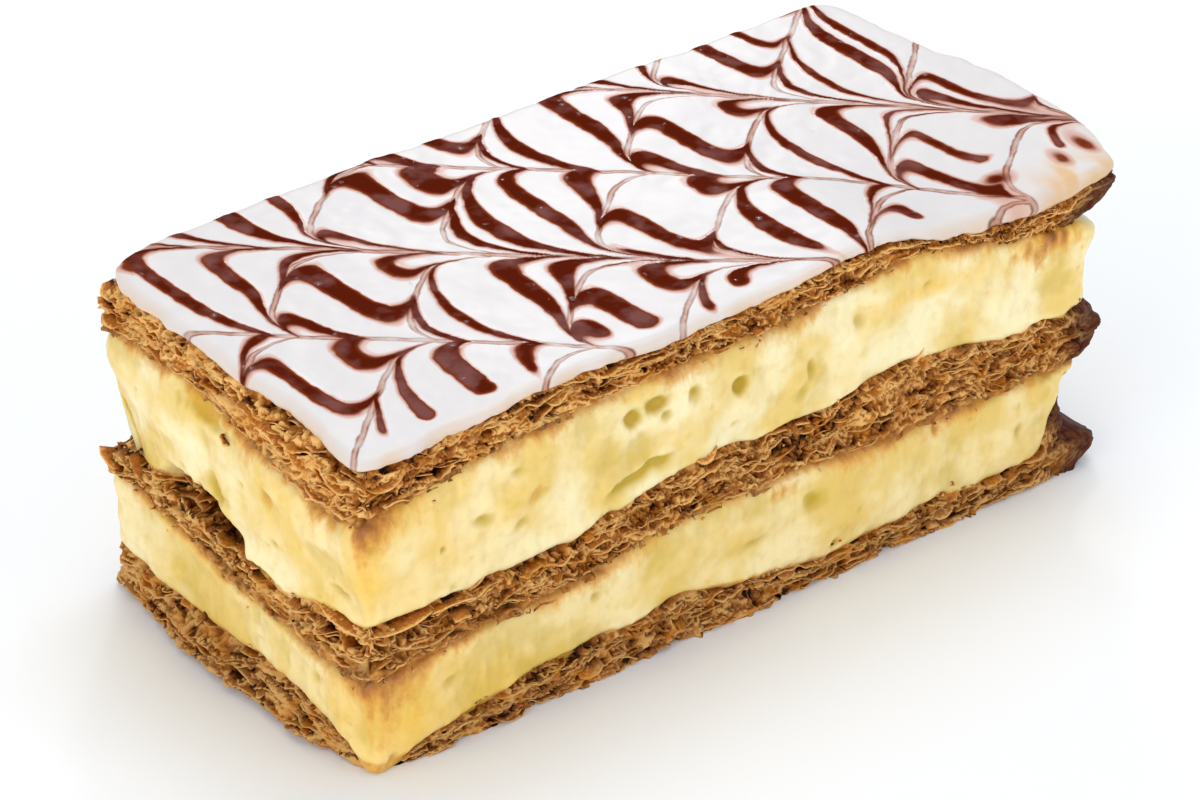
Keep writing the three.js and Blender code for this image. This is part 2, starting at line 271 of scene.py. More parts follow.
def end_pull():
    """How far the baked end stands out at each level."""
    found = []
    for z in LEVELS:
        hit = TREE.ray_cast(Vector((LENGTH + START, END_SHOWN, z)), Vector((-1, 0, 0)))
        found.append(hit[0].x - LENGTH if hit[0] else 0.0)
    return blur(np.array(found), 2, 0, False)


PULL = end_pull()


def pull_at(z):
    """How far the baked end stands out at the heights z."""
    return np.interp(z, LEVELS, PULL)


class Shell:
    """The outer surface of all the solids: how far out it lies at each level and place, and whose it is."""

    def __init__(self, outline):
        self.outline = outline
        self.spacing = float(outline.step.min())
        shape = (len(LEVELS), outline.count)
        self.reach = np.full(shape, np.nan)
        self.owner = np.full(shape, -1)
        for i, z in enumerate(LEVELS):
            for j in range(outline.count):
                nx, ny = outline.nx[j], outline.ny[j]
                x = outline.x[j] + nx * START + PULL[i] * outline.near_end[j]
                y = outline.y[j] + ny * START
                hit = TREE.ray_cast(Vector((x, y, z)), Vector((-nx, -ny, 0)), START - DEEPEST)
                if hit[0] is not None:
                    self.reach[i, j] = START - hit[3]
                    self.owner[i, j] = OWNERS[hit[2]]

    def band(self, name):
        """The lowest and highest level at which a node shows, at each place."""
        mine = self.owner == NODES.index(name)
        seen = mine.any(0)
        edges = []
        for found in (mine.argmax(0), len(LEVELS) - 1 - mine[::-1].argmax(0)):
            level = fill(np.where(seen, found, np.nan)[None].astype(float))[0]
            edges.append(LEVELS[0] + LEVEL_STEP * blur(median(level, 2), 0.45 / self.spacing, 0, True))
        return edges

    def reach_at(self, z, name=None):
        """How far out the surface of one node, or of all of them, lies at the heights z."""
        field = self.reach if name is None else np.where(self.owner == NODES.index(name), self.reach, np.nan)
        reach = np.full(z.shape, np.nan)
        for j in range(self.outline.count):
            good = ~np.isnan(field[:, j])
            if good.sum() > 1:
                reach[:, j] = np.interp(z[:, j], LEVELS[good], field[good, j])
        return fill(reach)


# ---------------------------------------------------------------- meshes


def to_mesh(name, points, faces, attributes):
    """A shown piece from points in mm. attributes holds one number for each point under each name."""
    mesh = bpy.data.meshes.new(name)
    mesh.from_pydata(((within_box(points) + CUT_CORNER) * MM).tolist(), [], faces)
    for key, values in attributes.items():
        made = mesh.attributes.new(key, "FLOAT", "POINT")
        made.data.foreach_set("value", np.asarray(values, np.float32))
    mesh.shade_smooth()
    mesh.update()
    piece = bpy.data.objects.new(name, mesh)
    bpy.context.scene.collection.objects.link(piece)
    return piece


def within_box(points):
    """Keeps points a hair inside the box of the solids."""
    hair = 0.02
    low, high = (np.array(corner) / MM - CUT_CORNER for corner in CAD_BOX)
    return np.clip(points, low + hair, high - hair)


def quads(rows, places, first, closed):
    """Faces between neighbouring rows of a ring. closed joins the last row to the first as well."""
    i = np.arange(rows if closed else rows - 1)[:, None]
    j = np.arange(places)[None, :]
    up = (i + 1) % rows
    right = (j + 1) % places
    faces = np.stack([i * places + j, i * places + right, up * places + right, up * places + j], -1)
    return (faces.reshape(-1, 4) + first).tolist()


def fan(first, places, centre, upwards):
    """Faces from a ring of points to one point in its middle."""
    faces = []
    for j in range(places):
        pair = [first + j, first + (j + 1) % places]
        faces.append(pair + [centre] if upwards else pair[::-1] + [centre])
    return faces


def closed_stack(loops):
    """Points and faces of a stack of loops, from the underside to the top, closed at both ends by fans."""
    rows, places = loops.shape[:2]
    ends = np.stack([loops[0].mean(0), loops[-1].mean(0)])
    points = np.concatenate([loops.reshape(-1, 3), ends])
    faces = quads(rows, places, 0, False)
    faces += fan(0, places, rows * places, False)
    faces += fan((rows - 1) * places, places, rows * places + 1, True)
    return points, faces


def with_hidden(values, mode):
    """Numbers for the points of a closed stack whose first and last rows and two middles are hidden. mode
    says what the hidden rows get, as for np.pad."""
    return np.concatenate([np.pad(values, ((1, 1), (0, 0)), mode).ravel(), [0, 0]])


class Gathered:
    """Points, faces and numbers of many small forms that make up one piece."""

    def __init__(self, *names):
        self.points, self.faces, self.count = [], [], 0
        self.values = {name: [] for name in names}

    def take(self, points, faces, **values):
        """Adds a form. Its faces count from its own first point."""
        points = points.reshape(-1, 3)
        self.faces += [[v + self.count for v in face] for face in faces]
        self.points.append(points)
        self.count += len(points)
        for name, kept in self.values.items():
            kept.append(np.broadcast_to(values[name], len(points)))

    def piece(self, name):
        """The piece that all the forms make up."""
        values = {key: np.concatenate(kept) for key, kept in self.values.items()}
        return to_mesh(name, np.concatenate(self.points), self.faces, values)


# ---------------------------------------------------------------- sizes and colours


def linear(hex_colour):
    """An sRGB hex colour as linear red, green, blue and alpha."""
    value = int(hex_colour.lstrip("#"), 16)
    parts = [((value >> shift) & 255) / 255 for shift in (16, 8, 0)]
    return [c / 12.92 if c <= 0.04045 else ((c + 0.055) / 1.055) ** 2.4 for c in parts] + [1.0]


def blend(first, second, share):
    """A colour at a share of the way from the first to the second."""
    return [a + (b - a) * share for a, b in zip(first, second)]


def colour_prop(name, description, hex_colour):
    """A colour that a user can change."""
    return bpy.props.FloatVectorProperty(
        name=name, description=description, default=linear(hex_colour), size=4, min=0.0, max=1.0,
        subtype="COLOR",
    )


def size_prop(name, description, mm):
    """A size that a user can change, given in mm and kept in metres."""
    return bpy.props.FloatProperty(
        name=name, description=description, default=mm * MM, min=0.0, precision=5,
        subtype="DISTANCE", unit="LENGTH",
    )


class SliceSizes(bpy.types.PropertyGroup):
    """Sizes of the fine form"""

    grain: size_prop("Grain", "Spacing of the mesh points along the cut sides", 0.27)
    far_grain: size_prop("Far grain", "Spacing of the mesh points along the back and the baked end", 0.6)
    icing_grain: size_prop("Icing grain", "Spacing of the mesh points of the icing", 0.345)
    crinkle: size_prop("Crinkle", "How far a leaf's edge wrinkles up and down", 0.42)
    ragged: size_prop("Ragged", "How far a leaf's edge wanders in and out", 0.45)
    gap_depth: size_prop("Gap depth", "How far the gaps between the leaves go in", 1.25)
    leaf: size_prop("Leaf", "Thickness of a leaf of pastry", 0.2)
    swell: size_prop("Swell", "How wavy the knife left the custard", 0.4)
    relief: size_prop("Relief", "How far the chocolate stands up from the icing", 0.08)


class SliceColours(bpy.types.PropertyGroup):
    """Colours of the finishes"""

    custard_pale: colour_prop("Custard, pale", "Upper custard where it is lightest", "#FAECBE")
    custard_deep: colour_prop("Custard, deep", "Upper custard where it is richest", "#EBCD78")
    # Painted a little darker than the upper custard: partly its own richer colour, partly painted shade.
    custard_lower: colour_prop("Lower custard", "Lower custard, which is a little richer", "#E4C56C")
    custard_rich: colour_prop("Custard, rich", "Custard near the cut corner", "#F3C650")
    # Painted shade in dents, bubbles, the tear and the troughs of the knife's waves.
    custard_dent_shade: colour_prop("Custard, dents", "Custard in dents and bubbles", "#C6A624")
    # Partly a tinge of smeared pastry, partly painted shade under the sheet above.
    custard_tinge_and_shade: colour_prop("Custard, tinge", "Custard beside the smears", "#DFA23A")
    custard_stain_and_shade: colour_prop("Custard, smears", "Custard with pastry drawn through it", "#B06A1C")
    # The leaves' thin edges are golden, and lighter still with a painted highlight.
    pastry_edge_and_highlight: colour_prop("Pastry, edges", "Thin edges of the leaves", "#F2BE72")
    pastry_mid: colour_prop("Pastry, middle", "Flat of the leaves", "#AC6626")
    # Painted shade: the gaps between the leaves are painted almost black.
    pastry_gap_shade: colour_prop("Pastry, gaps", "Gaps between the leaves", "#2E1206")
    pastry_amber: colour_prop("Pastry, amber", "Leaves soaked in butter", "#C87A1C")
    pastry_soaked: colour_prop("Pastry, soaked", "Leaves wet through by the custard", "#C4873F")
    # Soaked pastry where darkest, and also the painted shade laid on the custard in holes and right under the
    # sheets.
    pastry_wet_and_shade: colour_prop("Pastry, wet", "Soaked leaves where they are darkest", "#6E3C1A")
    pastry_burnt: colour_prop("Pastry, baked end", "The baked end", "#3A1319")
    pastry_dull: colour_prop("Pastry, dull", "Pastry that has drawn damp from the custard", "#80582F")
    icing_white: colour_prop("Icing", "Fondant", "#DEDCDB")
    icing_shade: colour_prop("Icing, shade", "Fondant where it is thinner", "#D8D5D9")
    icing_thin: colour_prop("Icing, thin", "Fondant that lets the pastry through", "#DDB98E")
    scratch: colour_prop("Stroke marks, sides", "Chocolate pushed aside by the skewer", "#7E4230")
    scratch_pale: colour_prop("Stroke marks, middle", "Icing smeared with chocolate by the skewer", "#BE8A74")
    chocolate_halo: colour_prop("Chocolate, halo", "Icing that a chocolate line has tinted", "#D09078")
    chocolate_dark: colour_prop("Chocolate", "Chocolate lines", "#571B0B")
    # Painted sheen: a lighter mauve laid on parts of the chocolate as a reflection of the bright room, on
    # chocolate that also has a little icing mixed in.
    chocolate_painted_sheen: colour_prop("Chocolate, bloom", "Chocolate mixed with a little icing", "#7E504C")
    chocolate_edge: colour_prop("Chocolate, rim", "The rim of a chocolate line", "#7C3418")


def sizes():
    """The sizes of the fine form in mm."""
    group = bpy.context.scene.slice_sizes
    return SimpleNamespace(**{name: getattr(group, name) / MM for name in group.__annotations__})


def colours():
    """The colours of the finishes as linear lists."""
    group = bpy.context.scene.slice_colours
    return SimpleNamespace(**{name: list(getattr(group, name)) for name in group.__annotations__})


# ---------------------------------------------------------------- materials

MIX, MATH, VECTOR, RANGE = "ShaderNodeMix", "ShaderNodeMath", "ShaderNodeVectorMath", "ShaderNodeMapRange"
NOISE, PLACE, NUMBER = "ShaderNodeTexNoise", "ShaderNodeTexCoord", "ShaderNodeAttribute"
SURFACE, BUMP, OUTPUT = "ShaderNodeBsdfPrincipled", "ShaderNodeBump", "ShaderNodeOutputMaterial"
SMOOTH = "SMOOTHSTEP"

# What the mesh points carry for their finish: how rich the custard is, how dented it is, which sets painted
# shade there, how much pastry is smeared on it, with painted shade right under the sheet above, and where
# leaves are missing, painted dark as shade; how near a leaf's tip a point is, which sets the painted shade of
# the gaps and the painted highlight of the edges, how wet it is and how dark it baked.
CUSTARD_NUMBERS = ("rich", "dent", "stain", "hole")
PASTRY_NUMBERS = ("tip", "soaked", "baked")


def empty_material(name):
    """A new material with no nodes, and its tree."""
    made = bpy.data.materials.new(name)
    made.use_nodes = True
    made.node_tree.nodes.clear()
    return made, made.node_tree


def add(tree, kind, *inputs, **settings):
    """Adds a node. inputs fill the sockets that its settings leave in use, in their order, from plain values,
    sockets or other nodes; a dictionary fills them by name."""
    node = tree.nodes.new(kind)
    for name, value in settings.items():
        setattr(node, name, value)
    sockets = [socket for socket in node.inputs if socket.enabled]
    wanted = []
    for index, value in enumerate(inputs):
        if isinstance(value, dict):
            wanted += [(node.inputs[name], filled) for name, filled in value.items()]
        else:
            wanted.append((sockets[index], value))
    for socket, value in wanted:
        if isinstance(value, bpy.types.Node):
            value = next(output for output in value.outputs if output.enabled)
        if isinstance(value, bpy.types.NodeSocket):
            tree.links.new(value, socket)
        else:
            socket.default_value = value
    return node


def custard_material(name, pale, deep):
    # Egg custard, boiled, set cold and cut by a knife: a moist gel. Light goes a little way into it, so it is
    # soft and even, yellower where it is thin, with a faint wet gloss and a fine grain; dents, bubbles and
    # troughs are painted a darker olive yellow, as painted shade.
    own = colours()
    made, tree = empty_material(name)
    place = add(tree, PLACE).outputs["Object"]
    rich, dent, stain, hole = (
        add(tree, NUMBER, attribute_name=key).outputs["Fac"] for key in CUSTARD_NUMBERS
    )
    clouds = add(tree, NOISE, place, 1 / (9 * MM), 3.0)
    clouds = add(tree, RANGE, clouds, 0.35, 0.65, interpolation_type=SMOOTH)
    mottle = add(tree, RANGE, add(tree, NOISE, place, 1 / (1.8 * MM), 3.0), 0.5, 0.8, 0.0, 0.3)
    dent = add(tree, RANGE, dent, 0.0, 0.55, 0.0, 0.95)
    # Crumbs, a little taller than wide, break up what the knife has smeared.
    upright = add(tree, VECTOR, place, (1.0, 1.0, 0.6), operation="MULTIPLY")
    crumbs = add(tree, MATH, add(tree, NOISE, upright, 1 / (1.3 * MM), 5.0, 0.65), 1.1, operation="MULTIPLY")
    stain = add(tree, MATH, stain, crumbs, operation="ADD")
    # Pastry smeared by the knife, which right under the sheet above is also painted shade of its overhang: a
    # tinge, then the smear, then crusted pastry where it is strongest.
    tinge_and_shade = add(tree, RANGE, stain, 0.7, 1.2, 0.0, 0.75, interpolation_type=SMOOTH)
    smear_and_shade = add(tree, RANGE, stain, 1.0, 1.65, 0.0, 0.9, interpolation_type=SMOOTH)
    crusted_and_shade = add(tree, RANGE, stain, 1.45, 2.0, 0.0, 0.8, interpolation_type=SMOOTH)
    # Holes are painted with the dark of wet pastry, as painted shade in them.
    hole = add(tree, MATH, hole, crumbs, operation="ADD")
    hole = add(tree, RANGE, hole, 0.8, 1.2, interpolation_type=SMOOTH)
    body = pale
    for amount, laid_on in (
        (clouds, deep), (rich, own.custard_rich), (mottle, own.custard_dent_shade), (dent, own.custard_dent_shade),
        (tinge_and_shade, own.custard_tinge_and_shade), (smear_and_shade, own.custard_stain_and_shade), (crusted_and_shade, own.pastry_wet_and_shade),
        (hole, own.pastry_wet_and_shade),
    ):
        body = add(tree, MIX, amount, body, laid_on, data_type="RGBA")
    grain = add(tree, BUMP, {"Height": add(tree, NOISE, place, 1 / (0.6 * MM), 3.0), "Distance": 0.05 * MM,
                             "Strength": 0.5})
    shader = add(tree, SURFACE, {
        "Base Color": body, "Roughness": 0.4, "IOR": 1.4, "Normal": grain,
        "Subsurface Weight": 0.4, "Subsurface Radius": (1.0, 0.65, 0.25), "Subsurface Scale": 2.2 * MM,
    })
    add(tree, OUTPUT, shader)
    return made


def pastry_material(name, dull):
    # Puff pastry, rolled thin and baked dark: dry, matt leaves that shatter. Their thin edges are golden,
    # with a painted highlight on them, the flats are brown, the gaps between them are painted almost black as
    # painted shade, and butter makes some of them clear and amber.
    own = colours()
    made, tree = empty_material(name)
    edge_and_highlight_colour = blend(own.pastry_edge_and_highlight, own.pastry_dull, 0.8 * dull)
    mid_colour = blend(own.pastry_mid, own.pastry_dull, dull)
    place = add(tree, PLACE).outputs["Object"]
    tip, soaked, baked = (add(tree, NUMBER, attribute_name=key).outputs["Fac"] for key in PASTRY_NUMBERS)
    grain = add(tree, NOISE, place, 1 / (0.5 * MM), 4.0, 0.7)
    patches = add(tree, NOISE, place, 1 / (4.0 * MM), 2.0)
    level = add(tree, MATH, grain, 1.5, tip, operation="MULTIPLY_ADD")
    level = add(tree, MATH, patches, 0.45, level, operation="MULTIPLY_ADD")
    # From painted shade in the gaps, through the brown flats, to edges with a painted highlight.
    flat = add(tree, RANGE, level, 0.88, 1.36, interpolation_type=SMOOTH)
    edge = add(tree, RANGE, level, 1.38, 1.95, interpolation_type=SMOOTH)
    amber = add(tree, RANGE, add(tree, NOISE, place, 1 / (2.6 * MM), 2.0), 0.5, 0.68, 0.0, 0.6)
    upright = add(tree, VECTOR, place, (1.0, 1.0, 0.25), operation="MULTIPLY")
    streaks = add(tree, RANGE, add(tree, NOISE, upright, 1 / (1.1 * MM), 3.0), 0.38, 0.62)
    wet = add(tree, MIX, streaks, own.pastry_wet_and_shade, own.pastry_soaked, data_type="RGBA")
    baked = add(tree, MATH, baked, 0.93, operation="MULTIPLY")
    colour = own.pastry_gap_shade
    for amount, laid_on in (
        (flat, mid_colour), (edge, edge_and_highlight_colour), (amber, own.pastry_amber), (soaked, wet),
        (baked, own.pastry_burnt),
    ):
        colour = add(tree, MIX, amount, colour, laid_on, data_type="RGBA")
    bump = add(tree, BUMP, {"Height": grain, "Distance": 0.15 * MM, "Strength": 0.7})
    shader = add(tree, SURFACE, {
        "Base Color": colour, "Roughness": 0.6, "IOR": 1.45, "Specular IOR Level": 0.15, "Normal": bump,
        "Subsurface Weight": 0.12, "Subsurface Radius": (1.0, 0.5, 0.2), "Subsurface Scale": 0.8 * MM,
    })
    add(tree, OUTPUT, shader)
    return made


def icing_material(name):
    # Fondant, poured warm, with melted chocolate piped on it and drawn through it by a skewer before it set:
    # smooth and white with a soft gloss, deep red-brown lines that lie in it, with a painted mauve sheen in
    # patches, and tan where the two have mixed.
    own = colours()
    made, tree = empty_material(name)
    place = add(tree, PLACE).outputs["Object"]
    point = add(tree, VECTOR, place, {"Scale": 1 / MM}, operation="SCALE")
    point = add(tree, VECTOR, point, tuple(CUT_CORNER), operation="SUBTRACT")
    wobble = add(tree, NOISE, point, 0.35, 2.0).outputs["Color"]
    wobble = add(tree, VECTOR, wobble, (0.5, 0.5, 0.5), operation="SUBTRACT")
    point = add(tree, VECTOR, wobble, (0.8, 0.8, 0.0), point, operation="MULTIPLY_ADD")
    marks = add(tree, NOISE, point, 0.35, 2.0)
    marks = add(tree, RANGE, marks, 0.35, 0.6, 0.45, 1.0)
    chocolate = -9.0
    for at_x, at_y, half_x, half_y in BLOTS:
        away = add(tree, VECTOR, point, (-at_x, -at_y, 0.0), operation="ADD")
        away = add(tree, VECTOR, away, (1 / half_x, 1 / half_y, 0.0), operation="MULTIPLY")
        away = add(tree, VECTOR, away, operation="LENGTH").outputs["Value"]
        slope = BLOT_SOFTNESS * half_x
        inside = add(tree, MATH, away, -slope, slope, operation="MULTIPLY_ADD")
        chocolate = add(tree, MATH, chocolate, inside, operation="MAXIMUM")
    closest, drawn = 9.0, 0.0
    for at, heading, drag, width in reversed(STROKES):
        angle = math.radians(heading)
        way = (math.cos(angle), math.sin(angle), 0.0)
        across = (way[1], -way[0], 0.0)
        offset = at * across[0] + STROKE_MIDDLE * across[1]
        away = add(tree, VECTOR, point, across, operation="DOT_PRODUCT").outputs["Value"]
        away = add(tree, MATH, add(tree, MATH, away, offset, operation="SUBTRACT"), operation="ABSOLUTE")
        pull = add(tree, MATH, add(tree, MATH, away, -1 / width, operation="MULTIPLY"), operation="EXPONENT")
        pull = add(tree, MATH, pull, drag, operation="MULTIPLY")
        drawn = add(tree, MATH, pull, abs(way[0] * way[1]) / width, drawn, operation="MULTIPLY_ADD")
        point = add(tree, VECTOR, point, add(tree, VECTOR, way, {"Scale": pull}, operation="SCALE"),
                    operation="SUBTRACT")
        closest = add(tree, MATH, closest, away, operation="MINIMUM")
    x, y, _ = add(tree, "ShaderNodeSeparateXYZ", point).outputs
    leaned = add(tree, MATH, y, -LEAN, x, operation="MULTIPLY_ADD")
    for at, half, start in STRIPES:
        beside = add(tree, MATH, leaned, at - LEAN * STROKE_MIDDLE, operation="SUBTRACT")
        before = add(tree, MATH, add(tree, MATH, start, y, operation="SUBTRACT"), 0.0, operation="MAXIMUM")
        away = add(tree, VECTOR, add(tree, "ShaderNodeCombineXYZ", beside, before), operation="LENGTH")
        inside = add(tree, MATH, half, away.outputs["Value"], operation="SUBTRACT")
        chocolate = add(tree, MATH, chocolate, inside, operation="MAXIMUM")
    soft = add(tree, MATH, drawn, SMEARED / 2, EDGE_SOFTNESS / 2, operation="MULTIPLY_ADD")
    into = add(tree, MATH, chocolate, soft, operation="DIVIDE")
    body = add(tree, RANGE, into, -1.0, 1.0, interpolation_type=SMOOTH)
    halo = add(tree, RANGE, into, -2.4, -0.8, 0.0, 0.7, interpolation_type=SMOOTH)
    core = add(tree, RANGE, chocolate, 0.05, 0.6, interpolation_type=SMOOTH)
    # Patches of the chocolate get a painted sheen, a lighter mauve that stands in for reflection.
    painted_sheen = add(tree, RANGE, add(tree, NOISE, place, 1 / (5 * MM), 3.0), 0.48, 0.66, 0.0, 0.85)
    dark = add(tree, MIX, painted_sheen, own.chocolate_dark, own.chocolate_painted_sheen, data_type="RGBA")
    dark = add(tree, MIX, core, own.chocolate_edge, dark, data_type="RGBA")
    shade = add(tree, NOISE, place, 1 / (6 * MM), 2.0)
    thin = add(tree, NUMBER, attribute_name="thin").outputs["Fac"]
    side = add(tree, RANGE, closest, 0.3 * SCRATCH, SCRATCH, interpolation_type=SMOOTH)
    smeared = add(tree, MIX, side, own.scratch_pale, own.scratch, data_type="RGBA")
    mark = add(tree, RANGE, closest, 1.9 * SCRATCH, SCRATCH, interpolation_type=SMOOTH)
    mark = add(tree, MATH, mark, marks, operation="MULTIPLY")
    colour = own.icing_white
    for amount, laid_on in (
        (shade, own.icing_shade), (thin, own.icing_thin), (halo, own.chocolate_halo), (mark, smeared),
        (body, dark),
    ):
        colour = add(tree, MIX, amount, colour, laid_on, data_type="RGBA")
    # A bead of syrup has set here and there on the chocolate.
    beads = add(tree, "ShaderNodeTexVoronoi", place, {"Scale": 1 / (2.0 * MM)}).outputs["Distance"]
    beads = add(tree, RANGE, beads, 0.05, 0.28, 1.0, 0.0, interpolation_type=SMOOTH)
    some = add(tree, RANGE, add(tree, NOISE, place, 1 / (3.2 * MM), 1.0), 0.56, 0.6)
    beads = add(tree, MATH, beads, add(tree, MATH, core, some, operation="MULTIPLY"), operation="MULTIPLY")
    bump = add(tree, BUMP, {"Height": beads, "Distance": 0.16 * MM, "Strength": 0.8})
    gloss = add(tree, MATH, add(tree, RANGE, body, 0.0, 1.0, 0.4, 0.0), beads, operation="ADD")
    shader = add(tree, SURFACE, {
        "Base Color": colour, "Roughness": add(tree, RANGE, body, 0.0, 1.0, 0.36, 0.1), "IOR": 1.48,
        "Specular IOR Level": gloss, "Normal": bump,
        "Subsurface Weight": add(tree, RANGE, body, 0.0, 1.0, 0.15, 0.0),
        "Subsurface Radius": (1.0, 0.85, 0.75), "Subsurface Scale": 0.9 * MM,
    })
    add(tree, OUTPUT, shader)
    return made


def floor_material():
    # Matt laminate board, pressed and sealed: plain, pale and even.
    made, tree = empty_material("laminate floor")
    place = add(tree, PLACE).outputs["Object"]
    tint = add(tree, MIX, add(tree, NOISE, place, 1 / (120 * MM)), linear("#F6FAFF"), linear("#F3F7FC"),
               data_type="RGBA")
    add(tree, OUTPUT, add(tree, SURFACE, {"Base Color": tint, "Roughness": 0.6}))
    return made


# ---------------------------------------------------------------- what the pieces share

SPOT_SEED = 12  # of the unevenness of dents, stains and holes
_felt = {}  # the felt forms made so far


def shell(cut_step, far_step):
    """The felt form at a spacing, made once."""
    if (cut_step, far_step) not in _felt:
        _felt[cut_step, far_step] = Shell(Outline(cut_step, far_step))
    return _felt[cut_step, far_step]


def settle(piece, node, material):
    """Gives a piece its finish and puts it in the place of its solid, if it has one."""
    piece.data.materials.append(material)
    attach(piece, "root")
    if node:
        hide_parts(node)


def along_side(outline, side):
    """How far along a cut side each place is, and how much it belongs to that side."""
    if side == "front":
        return outline.x, np.clip(-outline.ny, 0, 1) ** 2
    return outline.y, np.clip(-outline.nx, 0, 1) ** 2


def spots(outline, z, listed):
    """The strongest at each place of a list of [side, place, height, half width, half height, strength]. Each
    is a dome with a fairly steep, uneven rim."""
    total = np.zeros(z.shape)
    base = outline.at(0 * z, z)
    uneven = 1 + bumps(base, SPOT_SEED, (1.6, 0.25), (0.7, 0.12))
    for side, at, height, wide, tall, strength in listed:
        place, share = along_side(outline, side)
        r = uneven * np.hypot((place - at) / wide, (z - height) / tall)
        total = np.maximum(total, strength * share * np.exp(-(r**2) * 1.2 - 0.4 * r**6))
    return total


# Holes where leaves have fallen out from under the upper custard, painted dark in the pastry and the custard
# as painted shade.
HOLES = [
    ["left", 36.5, 21.2, 5.0, 2.5, 1.0], ["left", 30.0, 19.6, 4.0, 1.5, 1.0],
    ["left", 23.0, 17.6, 5.0, 0.8, 0.8], ["left", 9.0, 17.6, 7.0, 0.6, 0.5],
    ["front", 9.0, 18.7, 8.0, 0.6, 0.5],
]


# ---------------------------------------------------------------- custard

# The larger bubbles and dents, which also get painted shade.
DENTS = [
    ["front", 38.6, 34.6, 1.5, 1.3, 0.9], ["front", 41.8, 35.2, 2.0, 1.2, 1.0],
    ["front", 43.4, 33.4, 1.0, 0.7, 0.5], ["front", 47.6, 35.0, 1.0, 1.2, 0.6],
    ["front", 54.6, 33.2, 1.2, 1.1, 1.1], ["front", 65.8, 31.4, 0.9, 1.7, 0.5],
    ["front", 64.4, 28.6, 1.4, 1.6, 0.4], ["front", 16.7, 29.4, 1.6, 0.9, 0.5],
    ["front", 10.8, 27.8, 0.5, 0.5, 0.5], ["front", 22.0, 27.0, 1.3, 0.9, 0.4],
    ["front", 24.5, 30.0, 1.5, 1.4, 0.3], ["front", 73.0, 35.4, 1.0, 1.2, 0.4],
    ["front", 66.7, 12.4, 1.8, 1.6, 0.6], ["front", 57.5, 10.0, 2.4, 0.8, 0.4],
    ["front", 100.8, 9.7, 1.2, 1.0, 0.4], ["front", 70.4, 4.6, 0.8, 0.8, 0.9],
    ["front", 12.0, 9.0, 1.5, 0.8, 0.35], ["left", 31.5, 35.2, 4.0, 1.7, 1.0],
    ["left", 26.4, 33.4, 1.4, 1.3, 0.25], ["left", 19.0, 29.4, 1.3, 1.8, 0.4],
    ["left", 30.6, 24.8, 2.2, 1.9, 0.8], ["left", 6.0, 23.0, 2.4, 0.5, 0.5],
]
# Where pastry has coloured the custard.
STAINS = [
    ["front", 24.5, 30.0, 1.8, 1.8, 0.75], ["front", 61.7, 15.6, 3.0, 1.6, 0.8],
    ["front", 87.5, 15.2, 3.4, 1.6, 0.8], ["front", 105.5, 35.8, 8.5, 4.0, 1.05],
    ["left", 19.0, 29.4, 1.4, 2.0, 0.8], ["left", 24.0, 35.0, 6.0, 1.6, 0.6],
    ["left", 31.5, 35.2, 4.6, 2.0, 0.55], ["left", 10.0, 34.0, 4.0, 2.0, 0.5],
]
# Where butter has run out of the sheet above and made the custard richer.
BUTTERY = [["front", 108.0, 36.8, 12.0, 3.2, 0.95], ["front", 84.0, 36.0, 12.0, 1.6, 0.5]]
# A tear in the upper custard, from one end to the other, as [place, height], and its depth.
TEAR = [[34.0, 25.6], [38.0, 26.4], [41.5, 27.4], [44.6, 27.6]]
TEAR_DEPTH = 0.9
TEAR_ABOVE, TEAR_BELOW = 0.35, 1.1  # how far it opens above and below its line
TEAR_SEED = 16
BUBBLES = 90  # small bubbles that the knife has opened round each layer
BUBBLE_SMALLEST, BUBBLE_SPREAD = 0.25, 0.6  # half the smallest's width, and how much more the largest's is
PIT_DEPTH, CUSTARD_HOLE_DEPTH = 1.2, 1.4  # of a dent or bubble and of a hole of strength 1
ROW_SHARE = 1.15  # height of a row of the mesh for each mm between its points
SMEARED_CORNER = 6.5  # how far from the cut corner the knife has smeared most
RICH_CORNER = 17  # how far from it the custard is richer
HIDDEN_DEPTH = 12.0  # how far in the hidden top and underside of a layer begin to close


def bubbles_in(outline, z, seed):
    """How deep the small round bubbles are at each place."""
    draw = np.random.default_rng(seed)
    total = np.zeros(z.shape)
    low, high = z.min(), z.max()
    for _ in range(BUBBLES):
        along, height = draw.uniform(0, outline.round), draw.uniform(low, high)
        size = BUBBLE_SMALLEST + BUBBLE_SPREAD * draw.random() ** 3
        gap = np.abs(outline.along - along)
        gap = np.minimum(gap, outline.round - gap)
        near = np.nonzero(gap < 3 * size)[0]
        r = np.hypot(gap[near] / size, (z[:, near] - height) / (0.8 * size))
        total[:, near] = np.maximum(total[:, near], 0.6 * size * np.exp(-(r**2)))
    return total


def knife_waves(base, seed):
    """How the knife left a layer, from broad swells to fine drag marks."""
    wave = bumps(base, seed, (7.5, 1.0), (2.9, 0.55), (1.1, 0.2))
    # The drag marks slant down the cut.
    dragged = base.copy()
    dragged[..., 2] += 0.55 * (base[..., 0] + base[..., 1])
    wave += 0.22 * noise(dragged, (0.8, 0.8, 3.5), seed + 3) + 0.1 * noise(base, 0.5, seed + 4)
    return wave + 0.5 * noise(base, (8, 8, 2.4), seed + 9)


def torn_open(outline, z, base):
    """How far the tear has opened at each place, from 0 to 1: steep above its line, and sloping out below."""
    place, share = along_side(outline, "front")
    spine = np.interp(place, *np.array(TEAR).T)
    first, last = TEAR[0][0], TEAR[-1][0]
    ends = ease(place, first - 1, first + 3) * (1 - ease(place, last - 2, last + 1))
    away = z - spine + 0.3 * noise(base, 1.8, TEAR_SEED)
    return share * ends * np.exp(-((away / np.where(away > 0, TEAR_ABOVE, TEAR_BELOW)) ** 2))


